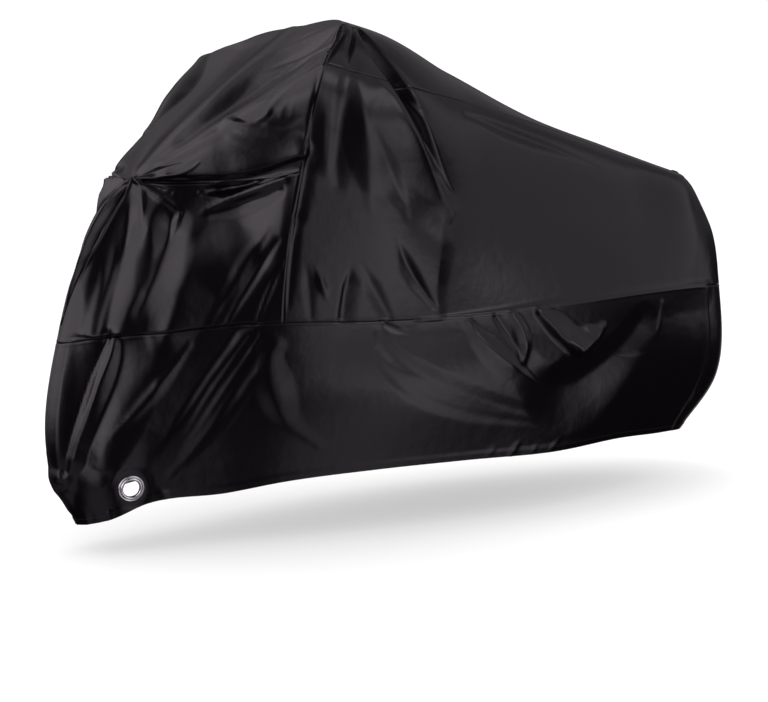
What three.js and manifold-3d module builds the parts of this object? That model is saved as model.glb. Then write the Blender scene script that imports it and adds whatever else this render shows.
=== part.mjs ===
// A fitted cloth cover for a motorcycle, as it hangs in use: a cap over the bars and front wheel, a long top,
// side panels, and a skirt that is drawn in at the hem, with one chrome eyelet low on each side at the front.
// Millimetres. X runs from front to rear, -Y is the motorcycle's left, Z is up.
import * as THREE from 'three';
import { mergeVertices } from 'three/addons/utils/BufferGeometryUtils.js';
import Module from 'manifold-3d';

const CLOTH_THICKNESS = 2;
const SEAM_INSET = 0.2;
const FAR_FOLD_SHARE = 0.85;
const FAR_FOLD_SHIFT = 0.07;
const FOLD_STEPS = 14;

// The cover's frame has its origin under the top, where the cloth is held up.
const HELD_AT = new THREE.Vector3(520, 0, 1330);

const EYELET = {
  station: 1.64,
  level: 5.64,
  bore: 22,
  flange: 35,
  barrel: 25.6,
  hole: 25.9,
  clearance: 0.3,
  segments: 28,
};
const FLAT_RADIUS = 72;
const FLAT_FADE = 130;

// Each rib of the cover from the crown line down to the hem, on the left side, as [x, y, z] above the ground.
// At the nose the upper levels close to one point. From the lamp round to the rear the ribs start on the top
// panel's end, so their crown is not used, and their ridge only sets how the cloth leaves that end.
const LEVELS = ['crown', 'ridge', 'shoulder', 'belt', 'waist', 'skirt', 'hem'];
const NOSE_POINT = [-45, -40, 963];
const RIBS = [
  { name: 'nose', crown: NOSE_POINT, ridge: NOSE_POINT, shoulder: NOSE_POINT, belt: NOSE_POINT,
    waist: [-238, 0, 553], skirt: [-265, 0, 235], hem: [-197, 0, 77] },
  { name: 'fender', crown: [48, -22, 1040], ridge: [58, -58, 1043], shoulder: [38, -96, 1022],
    belt: [15, -92, 957], waist: [-170, -85, 568], skirt: [-190, -85, 250], hem: [-139, -80, 97] },
  { name: 'wheel', crown: [160, -14, 1134], ridge: [187, -110, 1143], shoulder: [136, -170, 1092],
    belt: [105, -138, 956], waist: [-8, -150, 580], skirt: [-48, -128, 300], hem: [-47, -105, 133] },
  { name: 'fork', crown: [290, -8, 1238], ridge: [315, -165, 1243], shoulder: [236, -246, 1166],
    belt: [212, -205, 960], waist: [142, -208, 594], skirt: [120, -185, 345], hem: [161, -150, 146] },
  { name: 'cross', crown: [455, 0, 1357], ridge: [470, -225, 1363], shoulder: [357, -335, 1257],
    belt: [308, -290, 983], waist: [275, -255, 598], skirt: [285, -245, 370], hem: [300, -195, 167] },
  { name: 'bars', crown: [610, 0, 1325], ridge: [610, -185, 1337], shoulder: [590, -335, 1203],
    belt: [570, -325, 900], waist: [545, -300, 590], skirt: [545, -300, 385], hem: [560, -245, 181] },
  { name: 'tank', crown: [900, 0, 1238], ridge: [900, -92, 1229], shoulder: [910, -212, 1146],
    belt: [880, -290, 870], waist: [830, -322, 590], skirt: [830, -322, 385], hem: [840, -268, 181] },
  { name: 'seat', crown: [1200, 0, 1111], ridge: [1200, -58, 1106], shoulder: [1195, -140, 1084],
    belt: [1170, -255, 850], waist: [1130, -318, 602], skirt: [1130, -316, 390], hem: [1130, -272, 174] },
  { name: 'tail', crown: [1500, 0, 1021], ridge: [1500, -48, 1017], shoulder: [1490, -112, 1000],
    belt: [1470, -218, 830], waist: [1430, -288, 614], skirt: [1430, -283, 395], hem: [1400, -235, 180] },
  { name: 'lamp', crown: [1755, 0, 945], ridge: [1750, -47, 940], shoulder: [1745, -95, 930],
    belt: [1725, -180, 800], waist: [1690, -222, 612], skirt: [1690, -220, 370], hem: [1620, -172, 166] },
  { name: 'corner', crown: [1680, 0, 965], ridge: [1700, -42, 951], shoulder: [1750, -47, 940],
    belt: [1848, -102, 785], waist: [1850, -148, 600], skirt: [1848, -145, 310], hem: [1740, -115, 158] },
  { name: 'rear', crown: [1680, 0, 965], ridge: [1690, 0, 958], shoulder: [1755, 0, 945],
    belt: [1902, 0, 795], waist: [1937, 0, 600], skirt: [1918, 0, 285], hem: [1795, 0, 158] },
];
const CROSS = RIBS.findIndex((rib) => rib.name === 'cross');
const LAMP = RIBS.findIndex((rib) => rib.name === 'lamp');
const REAR = RIBS.length - 1;

// The right side is the left side mirrored, but for these moves: its bar end is lower and further forward.
const RIGHT_MOVES = [
  { rib: 'fender', level: 'ridge', by: [-20, 0, -10] },
  { rib: 'fender', level: 'shoulder', by: [-42, -2, -8] },
  { rib: 'fender', level: 'belt', by: [-58, -8, 10] },
  { rib: 'wheel', level: 'shoulder', by: [-30, 15, -5] },
  { rib: 'wheel', level: 'belt', by: [-10, 5, 0] },
  { rib: 'fork', level: 'ridge', by: [-20, -10, -22] },
  { rib: 'fork', level: 'shoulder', by: [-20, 20, -2] },
  { rib: 'cross', level: 'ridge', by: [-45, -32, -32] },
  { rib: 'cross', level: 'shoulder', by: [-11, 15, 18] },
  { rib: 'bars', level: 'ridge', by: [-10, -15, -25] },
];

// The cloth's grid between ribs and between levels. The columns round the tail also divide the top panel.
const FRONT_COLUMNS = [0, 0.5, 0.75, 1, 1.2, 1.4, 1.6, 1.8, 2, 2.2, 2.4, 2.6, 2.8, 3, 3.2, 3.4, 3.6, 3.8];
const SIDE_CELLS = [11, 6, 5, 5, 4];
const TAIL_COLUMNS = [9, 9.17, 9.34, 9.67, 10, 10.33, 10.67, 11];
const LEVEL_CELLS = { shoulder: 5, belt: 8, waist: 7, skirt: 5 };
const REAR_SEAM = 9.34;
const STRIP = { from: 1, to: 2.2, above: 5.2 };

// The folds of the left side. Each runs from one place on the cloth by a second to a third, as rib and level
// numbers. left and right are its widths on either hand, rise its height (troughs below zero), and start and
// end the share of that height at its ends.
const FOLD_COLUMNS = ['name', 'from', 'by', 'to', 'left', 'right', 'rise', 'start', 'end'];
const FOLDS = [
  ['cap valley', [3.68, 1.14], [2.74, 0.86], [1.24, 0.3], 45, 70, -16, 0.6, 0.2],
  ['cap band', [3.84, 1.86], [2.98, 2.0], [1.44, 2.02], 40, 40, 8, 0.5, 0.3],
  ['cap crisp ridge', [3.94, 2.04], [3.36, 2.14], [2.68, 2.26], 30, 48, 13, 0.6, 0.1],
  ['cap hollow', [3.86, 2.18], [3.54, 2.38], [2.86, 2.42], 36, 36, -12, 0.3, 0.2],
  ['cap tuck', [0.8, 2.94], [2.24, 2.88], [3.96, 2.86], 44, 44, -18, 0.2, 0.5],
  ['pocket', [3.36, 3.05], [2.72, 3.08], [2.0, 3.1], 36, 34, -18, 0.2, 0.5],
    ['low pocket', [3.84, 3.16], [2.86, 3.19], [2.18, 3.28], 48, 34, -12, 0.4, 0.3],
  ['second ridge top', [0.4, 3.04], [0.98, 3.08], [1.68, 3.18], 28, 36, 10, 0.4, 0.9],
  ['second ridge', [1.68, 3.18], [1.72, 3.42], [1.66, 3.76], 46, 32, 12, 0.9, 0.3],
  ['first ridge', [0.5, 3.06], [1.04, 3.36], [1.2, 3.9], 28, 30, 16, 0.3, 0.5],
  ['front groove', [0.92, 3.18], [1.34, 3.44], [1.34, 3.9], 30, 30, -12, 0.3, 0.3],
  ['seam groove', [0.44, 3.26], [0.74, 3.48], [0.92, 3.82], 30, 30, -12, 0.3, 0.4],
  ['front hollow', [2.6, 3.52], [2.52, 3.78], [2.36, 4.0], 50, 42, -14, 0.1, 0.5],
  ['slant groove', [3.86, 3.38], [3.26, 3.68], [2.74, 3.98], 30, 30, -10, 0.4, 0.3],
  ['slant ridge', [3.7, 3.7], [3.46, 3.82], [3.26, 4.0], 28, 28, 9, 0.3, 0.6],
  ['seam trough', [4.08, 2.82], [4.08, 3.22], [4.08, 3.74], 42, 34, -13, 0.7, 0.3],
  ['hanging ridge', [4.19, 1.96], [4.22, 2.36], [4.22, 3.06], 34, 34, 10, 0.5, 0.2],
  ['hanging valley', [4.3, 1.7], [4.37, 2.38], [4.42, 3.0], 42, 42, -22, 0.3, 0.2],
  ['hanging ridge two', [4.42, 1.92], [4.58, 2.34], [4.76, 2.88], 36, 36, 10, 0.4, 0.2],
  ['cone', [4.62, 1.94], [4.94, 2.4], [5.4, 3.06], 70, 70, 20, 0.3, 0.2],
  ['cone valley', [4.6, 1.45], [5.0, 2.04], [5.56, 2.86], 72, 56, -27, 0.2, 0.1],
  ['cone hollow', [4.74, 2.52], [4.98, 2.86], [5.18, 3.14], 30, 30, -10, 0.1, 0.1],
  ['low cone', [5.04, 3.28], [5.26, 3.6], [5.56, 3.92], 30, 28, -14, 0.2, 0.5],
  ['cone edge', [5.58, 2.88], [5.66, 3.38], [5.58, 3.9], 45, 32, -10, 0.2, 0.5],
  ['waist pleat', [4.62, 3.56], [4.68, 3.78], [4.7, 3.98], 34, 34, -14, 0.0, 1.0],
  ['waist ridge', [4.46, 3.36], [4.52, 3.68], [4.54, 3.98], 26, 26, 8, 0.1, 0.8],
  ['waist ridge two', [4.76, 3.46], [4.88, 3.74], [4.96, 3.98], 28, 28, 8, 0.1, 0.8],
  ['shoulder dip', [5.74, 2.12], [6.6, 2.4], [7.52, 2.42], 40, 45, -12, 0.3, 0.1],
  ['eyelet ridge', [3.32, 4.04], [2.78, 4.56], [2.28, 5.14], 32, 32, 16, 0.5, 0.4],
  ['eyelet valley', [3.78, 4.2], [3.06, 4.9], [2.26, 5.64], 36, 34, -20, 0.3, 0.3],
  ['eyelet low ridge', [3.62, 4.5], [3.2, 4.98], [2.5, 5.6], 32, 32, 8, 0.1, 0.2],
  ['eyelet hollow', [2.78, 4.04], [2.24, 4.58], [1.42, 4.9], 40, 38, -18, 0.5, 0.3],
  ['front ridge', [1.42, 4.06], [1.52, 4.48], [1.32, 4.76], 34, 34, 14, 0.6, 0.3],
  ['toe ridge', [1.36, 4.72], [1.04, 4.96], [0.3, 5.56], 28, 28, 11, 0.4, 0.3],
  ['toe ridge two', [1.1, 4.04], [0.98, 4.46], [0.26, 5.26], 28, 28, 11, 0.4, 0.3],
  ['toe groove', [1.24, 4.12], [1.2, 4.54], [0.34, 5.4], 28, 28, -11, 0.3, 0.3],
  ['belly', [3.84, 4.24], [3.86, 4.9], [4.48, 5.54], 70, 36, 12, 0.3, 0.2],
  ['sweep', [4.98, 4.02], [5.5, 4.74], [7.4, 5.64], 32, 32, -9, 0.6, 0.1],
  ['low sweep', [5.04, 4.42], [5.5, 4.98], [6.46, 5.5], 30, 30, -7, 0.2, 0.1],
  ['pleat', [6.02, 4.04], [6.14, 4.32], [6.44, 4.58], 34, 32, -14, 0.7, 0.2],
  ['pleat ridge', [6.28, 4.06], [6.52, 4.3], [6.56, 4.64], 32, 32, 10, 0.6, 0.3],
  ['deep pleat', [6.7, 4.14], [6.8, 4.6], [6.92, 5.06], 42, 38, -20, 0.6, 0.4],
  ['slant pleat', [6.92, 5.06], [7.38, 4.7], [7.94, 4.16], 36, 36, -16, 0.4, 0.4],
  ['slant pleat ridge', [7.12, 5.04], [7.68, 4.7], [8.32, 4.14], 36, 38, 12, 0.3, 0.5],
  ['rear hollow', [8.52, 4.1], [8.4, 4.8], [8.9, 5.5], 48, 48, -14, 0.5, 0.2],
].map((row) => Object.fromEntries(row.map((value, k) => [FOLD_COLUMNS[k], value])));

const CLOTH = { color: 0x2c2b2e, roughness: 0.45, metalness: 0.0 };
const CHROME = { color: 0xd9dadd, roughness: 0.14, metalness: 1.0 };

const vector = (list) => new THREE.Vector3(...list);

// The guide points of one side: sheet[rib][level], side -1 for left and 1 for right.
function guidePoints(side) {
  return RIBS.map((rib) => LEVELS.map((level) => {
    const point = vector(rib[level]);
    if (side < 0) return point;
    if (level !== 'crown' && rib.name !== 'nose') point.y *= -1;
    const move = RIGHT_MOVES.find((m) => m.rib === rib.name && m.level === level);
    return move ? point.add(vector(move.by)) : point;
  }));
}
const GUIDES = new Map([[-1, guidePoints(-1)], [1, guidePoints(1)]]);

// A smooth curve through points at whole numbers, with a point beyond each end and a corner at its crease.
function curveAt(points, t, crease) {
  const k = Math.min(Math.max(Math.floor(t), 0), points.length - 4);
  const f = t - k;
  const [a, b, c, d] = [points[k], points[k + 1], points[k + 2], points[k + 3]];
  const span = Math.max(b.distanceTo(c), 1);
  const run = (p, q) => q.clone().sub(p).divideScalar(Math.max(p.distanceTo(q), 1));
  const slope = (p, q, r) => {
    const [before, after] = [Math.max(p.distanceTo(q), 1), Math.max(q.distanceTo(r), 1)];
    return run(p, q).multiplyScalar(after).add(run(q, r).multiplyScalar(before)).divideScalar(before + after);
  };
  const leave = k === crease ? run(b, c) : slope(a, b, c);
  const arrive = k + 1 === crease ? run(b, c) : slope(b, c, d);
  return b.clone().multiplyScalar(2 * f ** 3 - 3 * f ** 2 + 1)
    .addScaledVector(leave, (f ** 3 - 2 * f ** 2 + f) * span)
    .addScaledVector(c, -2 * f ** 3 + 3 * f ** 2)
    .addScaledVector(arrive, (f ** 3 - f ** 2) * span);
}

// Where one level stands at a station. Round the tail the shoulder runs along the end of the top panel.
function guideAt(side, station, level) {
  if (level === 2 && station > LAMP) return clothPoint(side, LAMP, LAMP + 2 - station);
  const own = GUIDES.get(side).map((rib) => rib[level]);
  const other = GUIDES.get(-side).map((rib) => rib[level]);
  const before = level < 3 ? own[0].clone().multiplyScalar(2).sub(own[1]) : other[1];
  return curveAt([before, ...own, other[REAR - 1]], station, CROSS);
}

// A point of the smooth cloth, before its folds.
function clothPoint(side, station, level) {
  const rib = LEVELS.map((_, k) => guideAt(side, station, k));
  const below = rib[6].clone().multiplyScalar(2).sub(rib[5]);
  return curveAt([guideAt(-side, station, 1), ...rib, below], level, -1);
}

function clothNormal(side, station, level) {
  const step = 0.02;
  const along = clothPoint(side, station + step, level).sub(clothPoint(side, station - step, level));
  const down = clothPoint(side, station, level + step).sub(clothPoint(side, station, level - step));
  return along.cross(down).multiplyScalar(side).normalize();
}

// The cloth's grid.
const sideColumns = SIDE_CELLS.flatMap((count, k) =>
  Array.from({ length: count }, (_, n) => CROSS + k + n / count));
const COLUMNS = [...FRONT_COLUMNS, ...sideColumns, ...TAIL_COLUMNS];
const upperRows = TAIL_COLUMNS.map((station) => REAR - station).reverse();
const lowerRows = Object.entries(LEVEL_CELLS).flatMap(([name, count]) =>
  Array.from({ length: count }, (_, n) => LEVELS.indexOf(name) + (n + 1) / count));
const ROWS = [...upperRows, ...lowerRows];

const vertices = [];
const vertexAt = new Map();
function vertexIndex(point) {
  const key = point.toArray().map((value) => Math.round(value * 100)).join(' ');
  if (!vertexAt.has(key)) {
    vertexAt.set(key, vertices.length);
    vertices.push(point);
  }
  return vertexAt.get(key);
}

// Every cell of the cloth, its corners in order as seen from outside.
const cells = [];
for (const side of [-1, 1]) {
  const grid = COLUMNS.map((station) => ROWS.map((level) =>
    (station > LAMP && level < 2 ? -1 : vertexIndex(clothPoint(side, station, level)))));
  for (let i = 0; i + 1 < COLUMNS.length; i++) {
    for (let j = 0; j + 1 < ROWS.length; j++) {
      const around = [grid[i][j], grid[i + 1][j], grid[i + 1][j + 1], grid[i][j + 1]];
      if (around.includes(-1)) continue;
      const corners = (side > 0 ? around : around.reverse()).filter((v, k, all) => all.indexOf(v) === k);
      if (corners.length < 3) continue;
      const middle = { station: (COLUMNS[i] + COLUMNS[i + 1]) / 2, level: (ROWS[j] + ROWS[j + 1]) / 2 };
      cells.push({ side, corners, ...middle });
    }
  }
}

// A cell's triangles, split along the diagonal that bends the cloth least.
function triangles([a, b, c, d], points) {
  if (d === undefined) return [[a, b, c]];
  const normal = (p, q, r) =>
    points[q].clone().sub(points[p]).cross(points[r].clone().sub(points[p])).normalize();
  const bend = normal(a, b, c).dot(normal(a, c, d)) - normal(b, c, d).dot(normal(b, d, a));
  return bend >= 0 ? [[a, b, c], [a, c, d]] : [[b, c, d], [b, d, a]];
}

function vertexNormals(points) {
  const normals = points.map(() => new THREE.Vector3());
  for (const { corners } of cells) {
    for (const [a, b, c] of triangles(corners, points)) {
      const face = points[b].clone().sub(points[a]).cross(points[c].clone().sub(points[a]));
      for (const v of [a, b, c]) normals[v].add(face);
    }
  }
  return normals.map((n) => n.normalize());
}

// Where each eyelet sits, with the way it faces.
const eyeletPlaces = [-1, 1].map((side) => ({
  side,
  at: clothPoint(side, EYELET.station, EYELET.level),
  facing: clothNormal(side, EYELET.station, EYELET.level),
}));
const ease = (x) => { const t = THREE.MathUtils.clamp(x, 0, 1); return t * t * (3 - 2 * t); };
function flatShare(point, place) {
  return 1 - ease((point.distanceTo(place.at) - FLAT_RADIUS) / (FLAT_FADE - FLAT_RADIUS));
}

// A fold's path on the cloth, through its three places.
function foldPath(side, { from, by, to }) {
  const shift = side > 0 ? FAR_FOLD_SHIFT : 0;
  return Array.from({ length: FOLD_STEPS + 1 }, (_, k) => {
    const t = k / FOLD_STEPS;
    const weights = [(1 - t) * (1 - 2 * t), 4 * t * (1 - t), t * (2 * t - 1)];
    const [station, level] = [0, 1].map((n) =>
      weights[0] * from[n] + weights[1] * by[n] + weights[2] * to[n]);
    return clothPoint(side, Math.min(station + shift, REAR - 0.01), level);
  });
}

function foldedPoints(points) {
  const normals = vertexNormals(points);
  const lift = points.map(() => 0);
  for (const side of [-1, 1]) {
    for (const fold of FOLDS) {
      const path = foldPath(side, fold);
      const [left, right] = side < 0 ? [fold.left, fold.right] : [fold.right, fold.left];
      const reach = new THREE.Box3().setFromPoints(path).expandByScalar(Math.max(left, right));
      const rise = fold.rise * (side > 0 ? FAR_FOLD_SHARE : 1);
      points.forEach((point, v) => {
        if (!reach.containsPoint(point)) return;
        let [nearest, share, width] = [Infinity, 0, 1];
        for (let k = 0; k + 1 < path.length; k++) {
          const line = new THREE.Line3(path[k], path[k + 1]);
          const t = line.closestPointToPointParameter(point, true);
          const away = point.clone().sub(line.at(t, new THREE.Vector3()));
          if (away.length() >= nearest) continue;
          nearest = away.length();
          share = (k + t) / FOLD_STEPS;
          const leftwards = normals[v].clone().cross(line.delta(new THREE.Vector3()));
          width = away.dot(leftwards) > 0 ? left : right;
        }
        const across = nearest / width;
        if (across >= 1) return;
        const along = fold.start + (1 - fold.start) * ease(share / 0.45);
        const away = fold.end + (1 - fold.end) * ease((1 - share) / 0.45);
        lift[v] += rise * along * away * (1 - across ** 2) ** 2;
      });
    }
  }
  return points.map((point, v) => {
    const moved = point.clone().addScaledVector(normals[v], lift[v]);
    for (const place of eyeletPlaces) {
      const share = flatShare(point, place);
      if (share <= 0) continue;
      moved.copy(point).addScaledVector(normals[v], lift[v] * (1 - share));
      moved.addScaledVector(place.facing, -share * moved.clone().sub(place.at).dot(place.facing));
    }
    return moved;
  });
}
const outside = foldedPoints(vertices);
const outward = vertexNormals(outside);

// One piece of cloth from its cells: both faces and the cut edges, drawn in a little from its neighbours.
function clothPiece(pieceCells) {
  const faces = pieceCells.flatMap(({ corners }) => triangles(corners, outside));
  const edges = new Map();
  for (const [a, b, c] of faces) {
    for (const [p, q, r] of [[a, b, c], [b, c, a], [c, a, b]]) {
      if (!edges.delete(`${q} ${p}`)) edges.set(`${p} ${q}`, [p, q, r]);
    }
  }
  const inwards = new Map();
  for (const [p, q, r] of edges.values()) {
    const along = outside[q].clone().sub(outside[p]).normalize();
    const inner = outside[r].clone().sub(outside[p]);
    inner.addScaledVector(along, -inner.dot(along)).normalize();
    for (const v of [p, q]) inwards.set(v, [...(inwards.get(v) ?? []), inner]);
  }
  const drawnIn = (v) => {
    const point = outside[v].clone();
    if (!inwards.has(v)) return point;
    const way = inwards.get(v).reduce((sum, n) => sum.add(n), new THREE.Vector3()).normalize();
    const least = Math.min(...inwards.get(v).map((n) => n.dot(way)));
    return point.addScaledVector(way, SEAM_INSET / Math.max(least, 0.35));
  };
  const outer = new Map();
  const inner = new Map();
  for (const v of faces.flat()) {
    if (outer.has(v)) continue;
    outer.set(v, drawnIn(v));
    inner.set(v, drawnIn(v).addScaledVector(outward[v], -CLOTH_THICKNESS));
  }
  const positions = [];
  const face = (...corners) => positions.push(...corners.flatMap((p) => p.toArray()));
  for (const [a, b, c] of faces) {
    face(outer.get(a), outer.get(b), outer.get(c));
    face(inner.get(a), inner.get(c), inner.get(b));
  }
  for (const [p, q] of edges.values()) {
    face(outer.get(p), inner.get(p), inner.get(q));
    face(outer.get(p), inner.get(q), outer.get(q));
  }
  const geometry = new THREE.BufferGeometry();
  return geometry.setAttribute('position', new THREE.Float32BufferAttribute(positions, 3));
}

const manifold = await Module();
manifold.setup();
function solidOf(geometry) {
  const merged = mergeVertices(new THREE.BufferGeometry()
    .setAttribute('position', geometry.getAttribute('position')).setIndex(geometry.index), 1e-3);
  return new manifold.Manifold(new manifold.Mesh({
    numProp: 3,
    vertProperties: merged.getAttribute('position').array,
    triVerts: new Uint32Array(merged.index.array),
  }));
}
function geometryOf(solid) {
  const { numProp, vertProperties, triVerts } = solid.getMesh();
  const geometry = new THREE.BufferGeometry();
  geometry.setAttribute('position', new THREE.BufferAttribute(
    Float32Array.from({ length: (vertProperties.length / numProp) * 3 },
      (_, k) => vertProperties[Math.floor(k / 3) * numProp + (k % 3)]), 3));
  geometry.setIndex(Array.from(triVerts));
  return geometry.toNonIndexed();
}

const cover = new THREE.Group();
cover.name = 'cover';
function addMesh(name, geometry, finish) {
  const mesh = new THREE.Mesh(geometry, new THREE.MeshStandardMaterial(finish));
  mesh.name = name;
  mesh.geometry.computeVertexNormals();
  cover.add(mesh);
  return mesh;
}

// The pieces, each the cells between two stations and two levels.
const inStrip = (cell) =>
  cell.station > STRIP.from && cell.station < STRIP.to && cell.level > STRIP.above;
const between = (cell, stationA, stationB, levelA, levelB) =>
  cell.station > stationA && cell.station < stationB && cell.level > levelA && cell.level < levelB;
const SIDES = { left: -1, right: 1 };

addMesh('cap', clothPiece(cells.filter((cell) => between(cell, 0, CROSS, 0, 3))), CLOTH);
addMesh('top', clothPiece(cells.filter((cell) => between(cell, CROSS, LAMP, 0, 2))), CLOTH);
addMesh('skirt_rear', clothPiece(cells.filter((cell) => between(cell, REAR_SEAM, REAR, 4, 6))), CLOTH);
for (const [word, side] of Object.entries(SIDES)) {
  const own = cells.filter((cell) => cell.side === side);
  addMesh(`front_${word}`, clothPiece(own.filter((cell) => between(cell, 0, CROSS, 3, 4))), CLOTH);
  addMesh(`side_${word}`, clothPiece(own.filter((cell) => between(cell, CROSS, REAR, 2, 4))), CLOTH);
  addMesh(`skirt_${word}`, clothPiece(own.filter((cell) =>
    between(cell, 0, REAR_SEAM, 4, 6) && !inStrip(cell))), CLOTH);
}

// The hem's two eyelet strips with their holes, and the eyelets pressed into them.
const eyeletProfile = () => {
  const { bore, flange, barrel, clearance } = EYELET;
  const back = -CLOTH_THICKNESS - clearance;
  const bead = (centre, radius, base, steps) => Array.from({ length: steps + 1 }, (_, k) => {
    const turn = Math.PI * (1 - k / steps);
    return [centre + radius * Math.cos(turn), base + radius * Math.sin(turn)];
  });
  const groove = (bore + flange) / 2 + 1;
  return [
    [bore, back - 1.2],
    ...bead((bore + groove) / 2, (groove - bore) / 2, 2.6, 4),
    ...bead((groove + flange) / 2, (flange - groove) / 2, 1.4, 4).slice(1),
    [flange, clearance],
    [barrel, clearance],
    [barrel, back],
    [flange - 2, back],
    [flange - 2.6, back - 1.4],
    [bore + 1.5, back - 2.2],
    [bore, back - 1.2],
  ].reverse().map(([r, h]) => new THREE.Vector2(r, h));
};
for (const { side, at, facing } of eyeletPlaces) {
  const word = side < 0 ? 'left' : 'right';
  const turn = new THREE.Quaternion().setFromUnitVectors(new THREE.Vector3(0, 1, 0), facing);
  const strip = solidOf(clothPiece(cells.filter((cell) => cell.side === side && inStrip(cell))));
  const drill = new THREE.CylinderGeometry(EYELET.hole, EYELET.hole, 40, EYELET.segments);
  drill.applyQuaternion(turn).translate(...at.toArray());
  addMesh(`eyelet_strip_${word}`, geometryOf(strip.subtract(solidOf(drill))), CLOTH);
  const ring = addMesh(`eyelet_${word}`, new THREE.LatheGeometry(eyeletProfile(), EYELET.segments), CHROME);
  ring.quaternion.copy(turn);
  ring.position.copy(at);
}

cover.position.copy(HELD_AT).negate();
const part = new THREE.Group();
part.name = 'motorcycle_cover';
part.add(cover);

export default part;
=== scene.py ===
"""Dresses the motorcycle cover: satin panels in their folds, sewn seams, a gathered hem and two eyelets."""
import logging
import math
from dataclasses import dataclass
from enum import Enum, IntEnum

import bpy
import numpy as np
from mathutils import Matrix, Vector


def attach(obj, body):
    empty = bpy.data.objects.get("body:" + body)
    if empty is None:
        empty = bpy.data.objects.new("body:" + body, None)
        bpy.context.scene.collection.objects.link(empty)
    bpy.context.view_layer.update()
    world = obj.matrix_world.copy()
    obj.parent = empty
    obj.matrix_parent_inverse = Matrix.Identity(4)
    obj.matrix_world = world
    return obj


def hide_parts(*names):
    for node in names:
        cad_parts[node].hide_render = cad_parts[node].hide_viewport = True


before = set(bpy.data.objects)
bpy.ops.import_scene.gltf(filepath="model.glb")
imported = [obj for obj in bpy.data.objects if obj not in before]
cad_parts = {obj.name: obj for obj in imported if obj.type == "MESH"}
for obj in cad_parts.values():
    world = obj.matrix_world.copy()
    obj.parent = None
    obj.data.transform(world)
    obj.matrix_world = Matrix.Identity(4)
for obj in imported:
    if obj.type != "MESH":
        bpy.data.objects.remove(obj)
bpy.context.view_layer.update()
LOG = logging.getLogger("cover")

MM = 0.001
TINY = 1e-6
BODY = "root"

# The cover's frame has its origin under the top, this far above the ground and behind the front wheel.
HELD_AT = np.array([520.0, 0.0, 1330.0])


class Side(Enum):
    """The two sides of the cover, by the sign of Y."""

    LEFT = -1
    RIGHT = 1

    @property
    def other(self) -> "Side":
        """The opposite side."""
        return Side(-self.value)

    @property
    def label(self) -> str:
        """The side's word in the names of pieces and nodes."""
        return self.name.lower()


class Level(IntEnum):
    """The lines that run along the cover, from its crown down to its hem."""

    CROWN = 0
    RIDGE = 1
    SHOULDER = 2
    BELT = 3
    WAIST = 4
    SKIRT = 5
    HEM = 6


class Station(IntEnum):
    """The ribs that run across the cover, from its nose to its rear."""

    NOSE = 0
    FENDER = 1
    WHEEL = 2
    FORK = 3
    CROSS = 4
    BARS = 5
    TANK = 6
    SEAT = 7
    TAIL = 8
    LAMP = 9
    CORNER = 10
    REAR = 11


# Each rib of the left side from the crown down to the hem, in millimetres above the ground. The nose closes
# to a point. From the lamp round to the rear the ribs start on the top panel's end.
NOSE_POINT = (-45, -40, 963)
RIBS: dict[Station, tuple[tuple[float, float, float], ...]] = {
    Station.NOSE: (NOSE_POINT, NOSE_POINT, NOSE_POINT, NOSE_POINT,
                   (-238, 0, 553), (-265, 0, 235), (-197, 0, 77)),
    Station.FENDER: ((48, -22, 1040), (58, -58, 1043), (38, -96, 1022), (15, -92, 957),
                     (-170, -85, 568), (-190, -85, 250), (-139, -80, 97)),
    Station.WHEEL: ((160, -14, 1134), (187, -110, 1143), (136, -170, 1092), (105, -138, 956),
                    (-8, -150, 580), (-48, -128, 300), (-47, -105, 133)),
    Station.FORK: ((290, -8, 1238), (315, -165, 1243), (236, -246, 1166), (212, -205, 960),
                   (142, -208, 594), (120, -185, 345), (161, -150, 146)),
    Station.CROSS: ((455, 0, 1357), (470, -225, 1363), (357, -335, 1257), (308, -290, 983),
                    (275, -255, 598), (285, -245, 370), (300, -195, 167)),
    Station.BARS: ((610, 0, 1325), (610, -185, 1337), (590, -335, 1203), (570, -325, 900),
                   (545, -300, 590), (545, -300, 385), (560, -245, 181)),
    Station.TANK: ((900, 0, 1238), (900, -92, 1229), (910, -212, 1146), (880, -290, 870),
                   (830, -322, 590), (830, -322, 385), (840, -268, 181)),
    Station.SEAT: ((1200, 0, 1111), (1200, -58, 1106), (1195, -140, 1084), (1170, -255, 850),
                   (1130, -318, 602), (1130, -316, 390), (1130, -272, 174)),
    Station.TAIL: ((1500, 0, 1021), (1500, -48, 1017), (1490, -112, 1000), (1470, -218, 830),
                   (1430, -288, 614), (1430, -283, 395), (1400, -235, 180)),
    Station.LAMP: ((1755, 0, 945), (1750, -47, 940), (1745, -95, 930), (1725, -180, 800),
                   (1690, -222, 612), (1690, -220, 370), (1620, -172, 166)),
    Station.CORNER: ((1680, 0, 965), (1700, -42, 951), (1750, -47, 940), (1848, -102, 785),
                     (1850, -148, 600), (1848, -145, 310), (1740, -115, 158)),
    Station.REAR: ((1680, 0, 965), (1690, 0, 958), (1755, 0, 945), (1902, 0, 795),
                   (1937, 0, 600), (1918, 0, 285), (1795, 0, 158)),
}

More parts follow.
